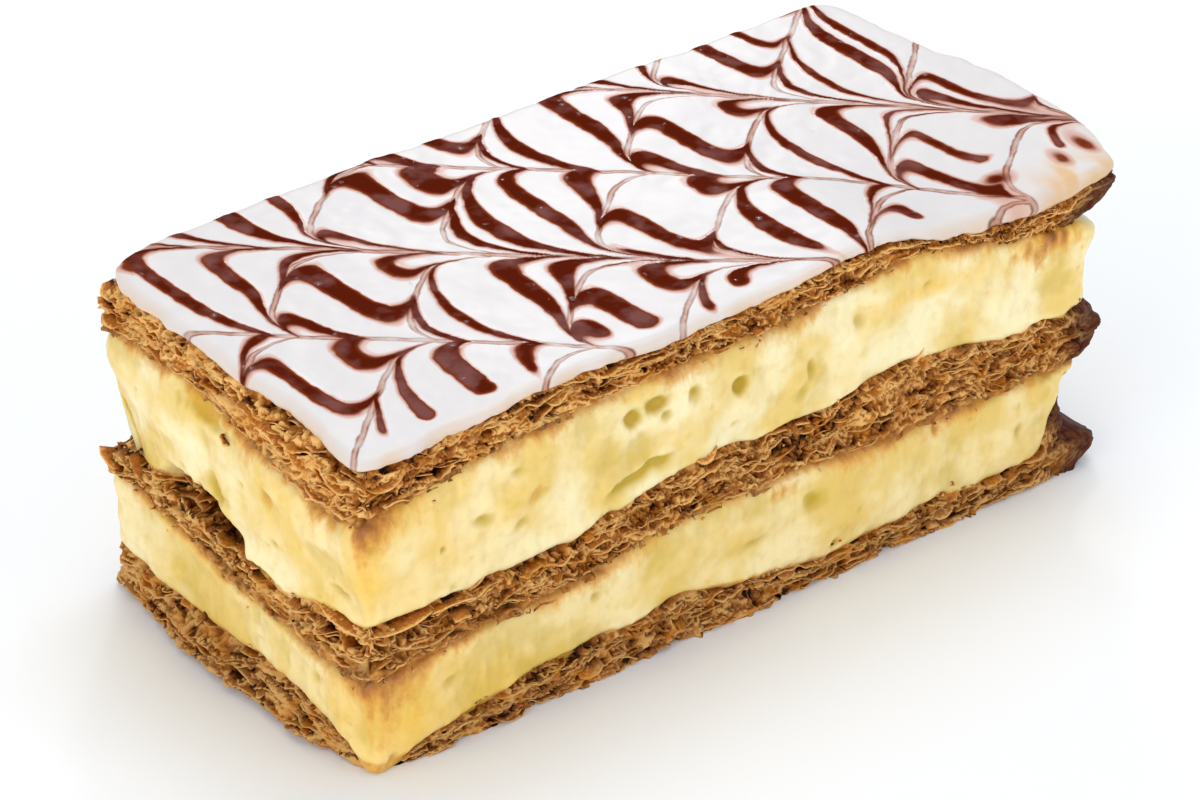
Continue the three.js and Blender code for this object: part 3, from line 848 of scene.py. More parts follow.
def smears_and_shade(outline, z, low, high, base, corner, seed):
    """How much pastry the knife has drawn into the custard: down from the sheet above for 1 to 3 mm, more at
    the corner, and up from the one below for less. Right under the sheet above it is also painted shade."""
    uneven = bumps(base, seed + 5, ((3.4, 3.4, TALL), 1.0), ((1.3, 1.3, TALL), 0.5))
    drop = np.maximum((1.1 + uneven) * (1 + 3.4 * corner), 0.25)
    patchy = np.clip(0.8 + 0.6 * noise(base, (6.5, 6.5, TALL), seed + 11), 0.45, 1.0)
    from_above = np.maximum(patchy, 1.25 * corner) * np.exp(-np.clip(high - z, 0, None) / drop)
    rise = 0.45 + 0.3 * noise(base, (2.5, 2.5, TALL), seed + 7)
    from_below = 0.6 * np.exp(-np.clip(z - low, 0, None) / rise)
    placed = spots(outline, z, STAINS) * (0.85 + 0.4 * noise(base, (0.9, 0.9, 3), seed + 8))
    return np.maximum(np.maximum(from_above, from_below), placed)


def make_custard(node, pale, deep):
    """A layer of custard, cut by a knife: softly wavy, with bubbles, a tear and smears of pastry, and painted
    shade in its dents and right under the sheet above.
    """
    own = sizes()
    felt = shell(own.grain, own.far_grain)
    outline = felt.outline
    low, high = felt.band(node)
    tall = float(np.median(high - low)) + 2 * OVERLAP
    rows = round(tall / (ROW_SHARE * own.grain))
    z = (low - OVERLAP) + (high - low + 2 * OVERLAP) * np.linspace(0, 1, rows)[:, None]
    beyond = np.maximum(low - z, z - high) / OVERLAP
    reach = felt.reach_at(z, node)
    reach = np.where(beyond > 0, np.minimum(reach, felt.reach_at(z)), reach)
    reach = blur(blur(reach, 0.8 / felt.spacing, 1, True), 1.5, 0, False)
    base = outline.at(reach, z)
    seed = 10 * (1 + NODES.index(node))
    wave = knife_waves(base, seed)
    pit = np.maximum(spots(outline, z, DENTS), bubbles_in(outline, z, seed))
    # Dents, bubbles and the troughs of the waves are painted shaded.
    dent = np.maximum(pit, 0.22 * ease(-wave, 0.2, 1.1))
    hole = spots(outline, z, HOLES)
    # It draws back a little right under the sheet above, and less over the one below.
    drawn_back = 0.45 * np.exp(-np.clip(high - z, 0, None) / 0.6)
    drawn_back += 0.2 * np.exp(-np.clip(z - low, 0, None) / 0.5)
    reach = reach + own.swell * wave - PIT_DEPTH * pit - CUSTARD_HOLE_DEPTH * hole - drawn_back
    if node == "custard_upper":
        cut = torn_open(outline, z, base)
        reach -= TEAR_DEPTH * cut
        # The tear is painted shaded as well.
        dent = np.maximum(dent, 0.8 * cut)
    corner = outline.to_corner(SMEARED_CORNER)
    # It draws back behind its neighbours, but stays out at the foot of the cut corner.
    reach -= np.clip(beyond, 0, 1) * 1.1 * (1 - 0.9 * corner * (z < 3))
    foot, head = (outline.inside(HIDDEN_DEPTH, z[row])[None] for row in (0, -1))
    points, faces = closed_stack(np.concatenate([foot, outline.at(reach, z), head]))
    rich = 0.75 * outline.to_corner(RICH_CORNER) * (0.75 + 0.5 * noise(base, 6.0, seed + 10))
    stain = smears_and_shade(outline, z, low, high, base, corner, seed)
    shown = (np.maximum(rich, spots(outline, z, BUTTERY)), dent, stain, hole)
    values = {key: with_hidden(np.clip(v, 0, 1.5), "constant") for key, v in zip(CUSTARD_NUMBERS, shown)}
    piece = to_mesh(node + "_cut", points, faces, values)
    settle(piece, node, custard_material(node.replace("_", " "), pale, deep))


# ---------------------------------------------------------------- pastry

# How each sheet has baked: how many of its leaves run all the way round, how many broken bits of leaf stand
# out, how much of its height the custard has soaked, how damp it looks, and its seed.
SHEETS = {
    "pastry_bottom": {"leaves": 5, "bits": 380, "soaked": 0.0, "dull": 0.45, "seed": 100},
    "pastry_middle": {"leaves": 5, "bits": 470, "soaked": 0.45, "dull": 0.15, "seed": 200},
    "pastry_top": {"leaves": 5, "bits": 520, "soaked": 0.15, "dull": 0.0, "seed": 300},
}
# The hollows between the leaves, each [its length along the cut, its height, how thin its rim is].
HOLLOWS = [[2.2, 0.62, 1.0], [3.6, 0.95, 1.0], [1.0, 0.42, 1.5]]
BARE_CORNER = 4.5  # how far from the cut corner the lowest sheet is hidden by custard
CRUST_FROM, CRUST_FULL = 9, 2  # how far from the baked end its crust begins, and where it covers the cut
UNDER_ICING = 0.5  # how far the top sheet runs on under the icing, which is too thin to hide more
WALL_STEP = 0.2  # height between the rows of a sheet's wall
WALL_BACK = 9.0  # how far in the hidden foot and head of a wall begin to close
HEAD_SUNK = 1.2  # how far its head sinks there
EDGE_HALF = 0.16  # half the width of a leaf's edge where it meets the cut
CLEFT_DEPTH = 0.6  # how much deeper the gaps are where whole leaves have parted
SIDE_PAINTED_LIGHTER = 0.24  # how much lighter the short cut side is painted, as painted light falling on it
WALL_HOLE, LEAF_HOLE = 1.5, 2.0  # how far the wall and the long leaves draw back in a hole
WALL_SQUEEZED, LEAF_SQUEEZED = 1.1, 1.2  # how far the wall and the leaves do where the sheet has no room
# How far long leaves and bits of leaf draw back into the crust of the baked end.
LEAF_SEALED, BIT_SEALED = 1.2, 1.5
# Round the section of a long leaf: how far out, and how far up for each mm of its thickness; and how near its
# tip that is, so that the part that meets the cut face gets painted shade.
LEAF_PROFILE = [[-2.2, -0.5], [-0.6, -0.5], [-0.12, -0.4], [0.0, 0.0], [-0.12, 0.4], [-0.6, 0.5], [-2.2, 0.5]]
LEAF_TIPS = [0.05, 0.3, 0.85, 1.0, 0.85, 0.3, 0.05]
# A bit of leaf: the places of its sections along it, and round each section how far in, on which side of the
# leaf, and how near its tip that is, so that its buried part gets painted shade.
BIT_LONG = np.linspace(-1, 1, 7)
BIT_DEEP = np.array([0, 0.12, 0.45, 1.0, 1.0, 0.45, 0.12, 0])
BIT_SIDE = np.array([-1, -1, -1, -1, 1, 1, 1, 1])
BIT_TIPS = np.array([1.0, 0.6, 0.3, 0.0, 0.0, 0.3, 0.6, 1.0])
BIT_SHORTEST, BIT_SPREAD = 0.9, 3.2  # the shortest's length, and how much more the longest's is
BIT_INTO = 1.6  # how far into the cut it goes
STEEP_SHARE, STEEP_LONGEST = 0.15, 1.3  # how many of them stand up steeply, and how long those are at most
TILT, STEEP_TILT = 13, 45  # how far they and the steep ones are tilted, give or take, in degrees


def bakedness(x, nx):
    """How much of the baked end's hard, dark crust there is at each place."""
    end = np.clip(nx, 0, 1) ** 2
    return np.clip(end + ease(x, LENGTH - CRUST_FROM, LENGTH - CRUST_FULL) * (1 - end) * 0.9, 0, 1)


def to_crossing(values, rise, s_step):
    """How far each place is, in mm, from a line on which the values change sign."""
    # The 0.3 keeps it from growing without end where the values hardly change.
    up = np.gradient(values, axis=0) / rise
    along = (np.roll(values, -1, 1) - np.roll(values, 1, 1)) / (2 * s_step)
    return np.abs(values) / (np.hypot(up, along) + 0.3)


class Sheet:
    """A sheet of pastry on a grid over the band where it shows and a little beyond: its heights z, its reach
    base, how far beyond the band each place is, and at each place of the outline how much crust it has, how
    much room there is for leaves and how high they may stand. calm is how little they wrinkle."""

    def __init__(self, node, felt):
        self.felt, self.outline, self.made = felt, felt.outline, SHEETS[node]
        self.seed = self.made["seed"]
        self.low, self.high = felt.band(node)
        self.foot = np.maximum(self.low - OVERLAP, 0.0)
        self.head = self.high + (UNDER_ICING if node == "pastry_top" else OVERLAP)
        self.rows = round(float(np.median(self.head - self.foot)) / WALL_STEP)
        self.z = self.foot + (self.head - self.foot) * np.linspace(0, 1, self.rows)[:, None]
        self.beyond = np.clip(np.maximum(self.low - self.z, self.z - self.high), 0, None) / OVERLAP
        reach, outer = felt.reach_at(self.z, node), felt.reach_at(self.z)
        base = reach + (outer - reach) * ease(self.beyond, 0, 0.3)
        self.base = blur(blur(base, 0.3 / felt.spacing, 1, True), 1.0, 0, False)
        self.crust = bakedness(self.outline.x, self.outline.nx)
        self.room = ease(self.high - self.low, 0.3, 1.6)
        # The icing lies on the top sheet, so no leaf of it stands up further than this.
        self.ceiling = self.high + (0.3 - 1.2 * self.crust if node == "pastry_top" else FREE)
        # A leaf wrinkles less where the cut face leans.
        z_step = (self.head - self.foot) / (self.rows - 1)
        self.calm = 1 / (1 + blur((np.gradient(self.base, axis=0) / z_step) ** 2, 3, 0, False))
        if node == "pastry_bottom":
            # At the cut corner the custard reaches down to the floor in front of it.
            corner = self.outline.to_corner(BARE_CORNER)
            self.room = self.room * (1 - corner)
            self.base = self.base - 1.5 * corner

    def read(self, field, place, z):
        """One of the sheet's fields at given places of the outline and heights."""
        row = (z - self.foot[place]) / (self.head[place] - self.foot[place]) * (self.rows - 1)
        return field[np.clip(np.rint(row).astype(int), 0, self.rows - 1), place]


def add_wall(sheet, gathered):
    """The cut face: thin leaf edges round hollows of every size, smoother where the custard has soaked it."""
    own, outline, z, seed = sizes(), sheet.outline, sheet.z, sheet.seed
    z_step = (sheet.head - sheet.foot) / (sheet.rows - 1)
    lean = np.gradient(sheet.base, axis=0)
    rise = np.hypot(z_step, lean)
    # Heights are counted along the cut face, so that the leaves look as thin where it leans.
    p = outline.at(0 * z, sheet.foot + np.cumsum(rise, axis=0))
    bent = [p[..., i] + 0.5 * noise(p, 1.7, seed + 20 + i) for i in (0, 1)]
    lift = bumps(p, seed + 22, ((8, 8, 9), 0.5), ((2.6, 2.6, 3), 0.3))
    q = np.stack([bent[0], bent[1], p[..., 2] + lift], -1)
    s_step = (outline.step + np.roll(outline.step, 1)) / 2
    rims = [
        rim * to_crossing(noise(q, (long, long, tall), seed + 24 + i), rise, s_step)
        for i, (long, tall, rim) in enumerate(HOLLOWS)
    ]
    edge = np.exp(-((np.min(rims, 0) / EDGE_HALF) ** 2))
    hollow = 0.25 + 0.75 * ease(noise(q, (2.4, 2.4, 0.8), seed + 28), -0.5, 0.4)
    # Long clefts where whole leaves have parted, painted dark as well, as painted shade in them.
    cleft = ease(noise(q, (6.5, 6.5, 0.9), seed + 35), 0.3, 0.6) * (1 - 0.9 * sheet.crust)
    share = (z - sheet.low) / (sheet.high - sheet.low)
    # The custard has soaked the foot of a sheet most at the short cut side and the corner.
    wet_share = sheet.made["soaked"] * (1 + 0.5 * noise(p, (4, 4, TALL), seed + 29))
    wet_share = np.maximum(wet_share * (1 - 0.75 * ease(outline.x, 12, 40)), 0.001)
    soaked = (1 - ease(share, 0.3 * wet_share, 1.3 * wet_share)) * (sheet.made["soaked"] > 0)
    holes = spots(outline, z, HOLES)
    depth = own.gap_depth * hollow * (1 - edge) * (1 - 0.6 * soaked) * (1 - 0.8 * sheet.crust)
    depth = (depth + CLEFT_DEPTH * cleft) * (0.3 + 0.7 * sheet.room) + WALL_SQUEEZED * (1 - sheet.room)
    uneven = bumps(p, seed + 30, ((2.4, 2.4, 1.2), 0.3), ((0.9, 0.9, 0.5), 0.2))
    torn = ease(noise(q, (1.7, 1.7, 0.8), seed + 32), 0.0, 0.7) * (1 - sheet.crust)
    out = uneven * (1 - 0.5 * soaked) - depth - WALL_HOLE * holes
    # Torn edges stand out over its neighbours, and the rest draws back behind them.
    out += np.where(sheet.beyond > 0, 0.9 * torn * (1 - sheet.beyond) - 0.25 - 1.1 * sheet.beyond, 0)
    # Straight out from the wall, which leans where one layer stands out further than the next.
    wall = outline.at(sheet.base + out * z_step / rise, np.clip(z - out * lean / rise, 0.0, sheet.head))
    foot, head = (outline.inside(WALL_BACK, level)[None] for level in (z[0], z[-1] - HEAD_SUNK))
    points, faces = closed_stack(np.concatenate([foot, wall, head]))
    # Light near a leaf's edge, partly a painted highlight, and painted shade in deep hollows, holes and
    # clefts.
    tip = edge * (0.8 + 0.35 * noise(p, 1.3, seed + 33)) + 0.2 * (1 - hollow)
    tip = tip + (0.5 - tip) * 0.5 * soaked - 1.1 * holes - 0.5 * cleft
    # The short cut side is painted lighter: painted light.
    tip = tip + SIDE_PAINTED_LIGHTER * np.clip(-outline.nx, 0, 1)
    patchy = 0.65 + 0.5 * noise(p, (1.6, 1.6, 0.9), seed + 34)
    wet = np.clip((soaked + 0.3 * (sheet.beyond > 0)) * patchy, 0, 0.8) * np.clip(1 - 1.5 * holes, 0, 1)
    shown = (tip, wet, np.broadcast_to(sheet.crust, z.shape))
    gathered.take(points, faces, **{key: with_hidden(v, "edge") for key, v in zip(PASTRY_NUMBERS, shown)})


def add_leaves(sheet, gathered):
    """The leaves that run all the way round, wavy, ragged and broken off in places."""
    own, outline, seed, leaves = sizes(), sheet.outline, sheet.seed, sheet.made["leaves"]
    soft = 1 - 0.7 * sheet.crust
    every = np.arange(outline.count)
    for k in range(leaves):
        # Far enough from the other leaves' noise to be unlike them.
        lane = outline.flat + [0, 0, 50.0 * k]
        at = (k + 0.6 + bumps(lane, seed, (9.0, 0.7), (3.1, 0.5))) / leaves
        at = np.clip(at, 0.04, 0.97)
        height = sheet.low + (sheet.high - sheet.low) * at
        calm = sheet.read(sheet.calm, every, height)
        wrinkle = bumps(lane, seed + 2, (2.1, 0.55), (1.0, 0.45)) * own.crinkle * soft * sheet.room * calm
        broken = ease(noise(lane, 3.4, seed + 4), -0.05, 0.4)
        wander = bumps(lane, seed + 5, (3.0, 0.6), (1.3, 0.6), (0.6, 0.4))
        out = own.ragged * wander - 1.6 * broken - LEAF_SQUEEZED * (1 - sheet.room)
        out = out * soft - LEAF_HOLE * spots(outline, height[None], HOLES)[0] - LEAF_SEALED * sheet.crust
        out += sheet.read(sheet.base, every, height)
        thick = own.leaf * (1 + 0.5 * noise(lane, 2.0, seed + 9)) * (1 + 1.2 * sheet.crust)
        curl = 0.6 * noise(lane, 2.6, seed + 10) * soft * sheet.room * calm
        loops = []
        for inward, side in LEAF_PROFILE:
            lift = curl * math.exp(inward / 0.5) + wrinkle * math.exp(min(0.0, inward + 0.4) / 0.6)
            loops.append(outline.at(out + inward, np.clip(height + lift + side * thick, 0.0, sheet.ceiling)))
        faces = quads(len(loops), outline.count, 0, True)
        tips = np.repeat(LEAF_TIPS, outline.count)
        gathered.take(np.array(loops), faces, tip=tips, soaked=0.0, baked=np.tile(sheet.crust, len(loops)))


def add_bit(gathered, outline, draw, base, along, z, shape, tip=1.0, ceiling=FREE):
    """A broken bit of leaf, with its middle at a place along the outline, at a height and out from the cut at
    base. Its shape is its length along the cut, its tilt up along the cut and its roll up into it in degrees,
    how far it stands out, how far it curls, how deep it goes and its thickness."""
    long, tilt, roll, out, curl, deep, thick = shape
    a = BIT_LONG[:, None]
    tilt, roll = math.radians(tilt), math.radians(roll)
    rough = draw.uniform(-1, 1, (len(BIT_LONG), 1))
    half = thick / 2 * (1 - 0.7 * a**4) * np.where(BIT_DEEP == 0, 0.4, 1)
    height = z + a * long / 2 * math.sin(tilt) + curl * (a**2 - 0.4) * (1 - BIT_DEEP)
    height = height + deep * BIT_DEEP * math.tan(roll) + BIT_SIDE * half + 0.06 * rough
    reach = base + out - 0.3 * a**4 - deep * BIT_DEEP + 0.12 * rough * (1 - BIT_DEEP)
    height = np.clip(height, 0.0, ceiling)
    points = outline.point(along + a * long / 2 * math.cos(tilt) + 0 * height, reach, height)
    count = len(BIT_DEEP)
    faces = quads(len(BIT_LONG), count, 0, False)
    last = count * (len(BIT_LONG) - 1)
    faces += [list(range(count))[::-1], list(range(last, last + count))]
    burnt = bakedness(points[..., 0], np.where(points[..., 0] > LENGTH - 1, 1, 0)).ravel()
    gathered.take(points, faces, tip=tip * np.tile(BIT_TIPS, len(BIT_LONG)), soaked=0.0, baked=burnt)


def add_bits(sheet, gathered):
    """Broken bits of leaf that stand out of the cut face every way, most of them lying along it."""
    outline, own = sheet.outline, sizes()
    draw = np.random.default_rng(sheet.seed)
    # The bits of the lowest sheet stay off what it lies on.
    lowest = 0.1 if sheet.foot.min() < 0.1 else 0.0
    for _ in range(sheet.made["bits"]):
        along = draw.uniform(0, outline.round)
        place = int(np.searchsorted(outline.along, along)) % outline.count
        at = draw.uniform(lowest, 1.0)
        z = sheet.low[place] + (sheet.high[place] - sheet.low[place]) * at
        long = BIT_SHORTEST + BIT_SPREAD * draw.random() ** 1.7
        steep = draw.random() < STEEP_SHARE
        tilt = draw.normal(0, STEEP_TILT if steep else TILT)
        long = min(long, STEEP_LONGEST) if steep else long
        roll = draw.uniform(-40, 40)
        out = draw.uniform(-0.45, 0.5) - LEAF_SQUEEZED * (1 - sheet.room[place])
        curl = draw.uniform(-0.7, 0.7)
        thick = own.leaf * draw.uniform(0.5, 1.1)
        tip = draw.uniform(0.6, 1.2)
        # Bits in a hole are painted dark, as painted shade.
        in_hole = float(spots(outline, np.full((1, outline.count), z), HOLES)[0, place])
        tip *= max(0.0, 1 - 1.6 * in_hole)
        if at < 0.6 * sheet.made["soaked"]:
            out -= 0.6
        out -= BIT_SEALED * sheet.crust[place]
        long *= 0.4 + 0.6 * sheet.room[place]
        shape = [long, tilt, roll, out, curl, BIT_INTO, thick]
        base = sheet.read(sheet.base, place, z)
        add_bit(gathered, outline, draw, base, along, z, shape, tip, sheet.ceiling[place])


def make_pastry(node):
    """A sheet of puff pastry: its cut face, its long leaves and the broken bits that stand out of it."""
    own = sizes()
    sheet = Sheet(node, shell(own.grain, own.far_grain))
    gathered = Gathered(*PASTRY_NUMBERS)
    add_wall(sheet, gathered)
    add_leaves(sheet, gathered)
    add_bits(sheet, gathered)
    piece = gathered.piece(node + "_leaves")
    settle(piece, node, pastry_material(node.replace("_", " "), sheet.made["dull"]))


# ---------------------------------------------------------------- flakes and crumbs

# Larger flakes, each [side, place, height] and then its shape, as for add_bit.
FLAKES = [
    ["left", 51.0, 41.0, 2.6, 14, -15, 1.0, 0.3, 1.8, 0.14],
    ["left", 52.5, 39.6, 2.2, -24, 20, 1.1, -0.4, 1.8, 0.14],
    ["left", 50.4, 38.4, 2.8, 8, 24, 1.0, 0.4, 1.8, 0.14],
    ["left", 48.0, 39.8, 2.4, -12, -20, 0.9, 0.5, 1.8, 0.14],
    ["left", 51.6, 19.2, 3.2, 30, -12, 0.7, 0.4, 2.2, 0.4],
    ["left", 49.6, 17.8, 3.0, -14, 10, 0.6, 0.3, 2.2, 0.4],
    ["left", 4.0, 38.6, 5.0, 8, 10, 0.5, 1.0, 2.2, 0.2],
    ["left", 7.5, 36.6, 4.5, -16, -20, 0.6, -0.9, 2.2, 0.22],
    ["left", 11.0, 38.6, 4.0, 24, 20, 0.7, 1.0, 2.2, 0.2],
    ["left", 14.0, 37.0, 3.6, -28, -10, 0.6, 0.8, 2.2, 0.22],
    ["left", 17.0, 39.4, 4.4, 10, 25, 0.6, -0.8, 2.2, 0.2],
    ["left", 9.0, 34.8, 4.0, 5, -10, 0.3, 0.7, 2.0, 0.25],
    ["front", 3.4, 38.8, 5.4, 4, 15, 0.6, 1.1, 2.2, 0.22],
    ["front", 4.8, 36.6, 4.0, -10, -15, 0.5, -0.8, 2.2, 0.25],
    ["front", 38.0, 22.6, 3.6, 20, 35, 0.5, 1.2, 2.0, 0.25],
    ["front", 41.0, 23.2, 3.0, -32, -30, 0.6, 1.0, 2.0, 0.25],
    ["front", 49.6, 25.0, 3.4, 12, 35, 0.5, 1.1, 2.0, 0.25],
    ["front", 16.0, 20.6, 4.0, 16, 20, 0.4, 0.9, 2.0, 0.25],
    ["front", 83.0, 27.2, 2.4, 50, 20, 0.4, 0.4, 1.6, 0.25],
    ["front", 28.0, 40.6, 3.2, 10, 25, 0.5, 0.9, 2.0, 0.2],
    ["front", 5.0, 19.7, 8.0, 3, 10, 0.5, 0.5, 2.2, 0.22],
    ["front", 12.5, 20.0, 7.0, -3, -8, 0.5, -0.5, 2.2, 0.22],
    ["front", 21.0, 20.2, 7.0, 4, 8, 0.5, 0.6, 2.2, 0.22],
    ["left", 5.5, 19.2, 8.0, 2, 10, 0.5, 0.6, 2.2, 0.22],
    ["left", 12.5, 18.6, 6.0, -6, 8, 0.5, -0.6, 2.2, 0.22],
    ["left", 27.0, 33.4, 1.5, 40, 0, 0.5, 0.3, 0.6, 0.5],
    ["left", 33.0, 19.0, 5.0, 10, -20, -0.9, 0.7, 2.0, 0.25],
    ["left", 37.0, 20.4, 4.0, -14, 20, -1.4, -0.7, 2.0, 0.25],
    ["left", 25.0, 17.4, 5.0, 6, 15, -0.3, 0.8, 2.0, 0.25],
]
CRUMBS = 60  # small crumbs on the custard beside the sheets
CRUMB_INTO = 0.5  # how far into the cut they go
FLAKES_SEED = 900
ELSEWHERE = 99  # more than any distance along a side, to keep a flake off the other sides


def make_flakes():
    """The larger flakes that curl out of the sheets, and the crumbs that the knife left on the custard."""
    own = sizes()
    felt = shell(own.grain, own.far_grain)
    outline = felt.outline
    bands = {node: felt.band(node) for node in NODES}
    draw = np.random.default_rng(FLAKES_SEED)
    gathered = Gathered(*PASTRY_NUMBERS)
    field = blur(fill(felt.reach.copy()), 1.0, 1, True)

    def base_at(place, z):
        """How far out the cut lies at one place of the outline and one height."""
        level = int(np.clip(round((z - LEVELS[0]) / LEVEL_STEP), 0, len(LEVELS) - 1))
        found = field[level, place]
        return 0.0 if np.isnan(found) else found

    for side, at, z, long, tilt, *shape in FLAKES:
        place, share = along_side(outline, side)
        index = int(np.argmin(np.abs(place - at) + ELSEWHERE * (share < 0.5)))
        # Along the left side the outline runs towards the corner, so a flake's tilt turns the other way.
        turn = tilt if side == "front" else -tilt
        along, base = float(outline.along[index]), base_at(index, z)
        add_bit(gathered, outline, draw, base, along, z, [long, turn, *shape])
    for _ in range(CRUMBS):
        node = ("custard_lower", "custard_upper")[draw.integers(0, 2)]
        index = int(draw.integers(0, outline.count))
        low, high = bands[node][0][index], bands[node][1][index]
        off = 0.2 + 2.0 * draw.random() ** 2
        z = high - off if draw.random() < 0.7 else low + off
        long = 0.25 + 0.5 * draw.random() ** 2
        tilt, roll = draw.uniform(-80, 80), draw.uniform(-40, 40)
        out, curl = draw.uniform(0.0, 0.15), draw.uniform(-0.15, 0.15)
        thick, tip = draw.uniform(0.2, 0.35), draw.uniform(1.1, 1.5)
        along, base = float(outline.along[index]), base_at(index, z)
        shape = [long, tilt, roll, out, curl, CRUMB_INTO, thick]
        add_bit(gathered, outline, draw, base, along, z, shape, tip)
    piece = gathered.piece("flakes_and_crumbs")
    settle(piece, None, pastry_material("loose flakes", 0.0))


# ---------------------------------------------------------------- icing

ICING_SEED = 40
ICING_FOOT = 39.0  # no icing reaches lower than this
LIP_WIDTH, LIP_STEPS = 1.3, 9  # how far in from its edge the icing rounds over, and in how many rows
# The hidden rows behind and under the lip, each [how far in, share of the icing's thickness up].
LIP_UNDER = [[0.9, -0.06], [0.3, -0.02], [0.06, 0.12]]


def feathered(x, y):
    """How much chocolate there is at each place, and how near a stroke's mark is, after all the strokes."""
    x, y = x.copy(), y.copy()
    mark, drawn = np.zeros_like(x), np.zeros_like(x)
    for at, heading, drag, width in reversed(STROKES):
        angle = math.radians(heading)
        way_x, way_y = math.cos(angle), math.sin(angle)
        away = np.abs((x - at) * way_y - (y - STROKE_MIDDLE) * way_x)
        pull = drag * np.exp(-away / width)
        drawn += pull / width * abs(way_x * way_y)
        mark = np.maximum(mark, np.exp(-((away / SCRATCH) ** 2)))
        x -= way_x * pull
        y -= way_y * pull
    depth = np.full_like(x, -9.0)
    for at, half, start in STRIPES:
        beside = x - at - LEAN * (y - STROKE_MIDDLE)
        depth = np.maximum(depth, half - np.hypot(beside, np.maximum(start - y, 0)))
    return ease(depth / (EDGE_SOFTNESS / 2 + 0.2 + SMEARED / 2 * drawn), -1, 1), mark


class TopSurface:
    """The height of the icing's top, felt from above and softened."""

    STEP = 0.5  # between the places at which it is felt
    EDGE, END_EDGE = 4.0, 6.0  # how far beyond the cut and the baked end its height is known
    INSET, END_INSET = 2.6, 1.5  # nearer the edge or the baked end than this the top starts to round off
    ABOVE = 60.0  # a height above everything
    SOFTENED = 5  # how far it is softened, in steps

    def __init__(self):
        self.x = np.arange(-self.EDGE, LENGTH + self.END_EDGE, self.STEP)
        self.y = np.arange(-self.EDGE, WIDTH + self.EDGE, self.STEP)
        z = np.full((len(self.x), len(self.y)), np.nan)
        for i, x in enumerate(self.x):
            for j, y in enumerate(self.y):
                px = min(max(x, self.INSET), LENGTH - self.END_INSET)
                py = min(max(y, self.INSET), WIDTH - self.INSET)
                hit = TREE.ray_cast(Vector((px, py, self.ABOVE)), Vector((0, 0, -1)))
                if hit[0] is not None:
                    z[i, j] = hit[0].z
        z = np.where(np.isnan(z), np.nanmean(z), z)
        self.z = blur(blur(z, self.SOFTENED, 0, False), self.SOFTENED, 1, False)

    def at(self, x, y):
        """The height at any places."""
        u = np.clip((x - self.x[0]) / self.STEP, 0, len(self.x) - 1.001)
        v = np.clip((y - self.y[0]) / self.STEP, 0, len(self.y) - 1.001)
        i, j = u.astype(int), v.astype(int)
        s, t = u - i, v - j
        low = self.z[i, j] * (1 - s) + self.z[i + 1, j] * s
        high = self.z[i, j + 1] * (1 - s) + self.z[i + 1, j + 1] * s
        return low * (1 - t) + high * t


def icing_rim(outline):
    """The icing's edge in plan, felt from outside at every level that it reaches."""
    icing, levels = NODES.index("icing"), LEVELS[LEVELS > ICING_FOOT]

    def reach_at(x, y, nx, ny):
        """How far out the icing reaches from one place, along its way out."""
        start, way = Vector((x + nx * START, y + ny * START, 0)), Vector((-nx, -ny, 0))
        found = [np.nan]
        for z in levels:
            hit = TREE.ray_cast(start + Vector((0, 0, z)), way, START - DEEPEST)
            if hit[0] is not None and OWNERS[hit[2]] == icing:
                found.append(START - hit[3])
        return np.fmax.reduce(found)

    across = np.arange(2.0, WIDTH - 1, 1.0)
    bow = blur(fill(np.array([[reach_at(LENGTH, y, 1, 0) for y in across]]))[0], 1.5, 0, False)
    x = outline.x + np.interp(outline.y, across, bow) * outline.near_end**2
    reach = fill(np.array([[reach_at(*place) for place in zip(x, outline.y, outline.nx, outline.ny)]]))[0]
    reach = median(reach, 4) + bumps(outline.flat, ICING_SEED, (3.1, 0.3), (1.1, 0.2))
    soft = 0.6 / float(outline.step.min())
    return blur(x + outline.nx * reach, soft, 0, True), blur(outline.y + outline.ny * reach, soft, 0, True)


def closed_along_middle(loops, counts):
    """Points and faces of rings that narrow to the middle line, with the last one closed straight across."""
    rows, places = loops.shape[:2]
    points = np.concatenate([loops.reshape(-1, 3), loops[0].mean(0)[None]])
    faces = quads(rows, places, 0, False) + fan(0, places, rows * places, False)
    first = (rows - 1) * places
    front, front_corner, end, _, _, _, side, side_corner = counts
    # The place across the slice from the first one.
    opposite = sum(counts[:5])
    for j in range(-side_corner - side // 2, front + front_corner + end // 2):
        ring = [v % places for v in (j, j + 1, opposite - j - 1, opposite - j)]
        faces.append([first + v for v in dict.fromkeys(ring)])
    return points, faces


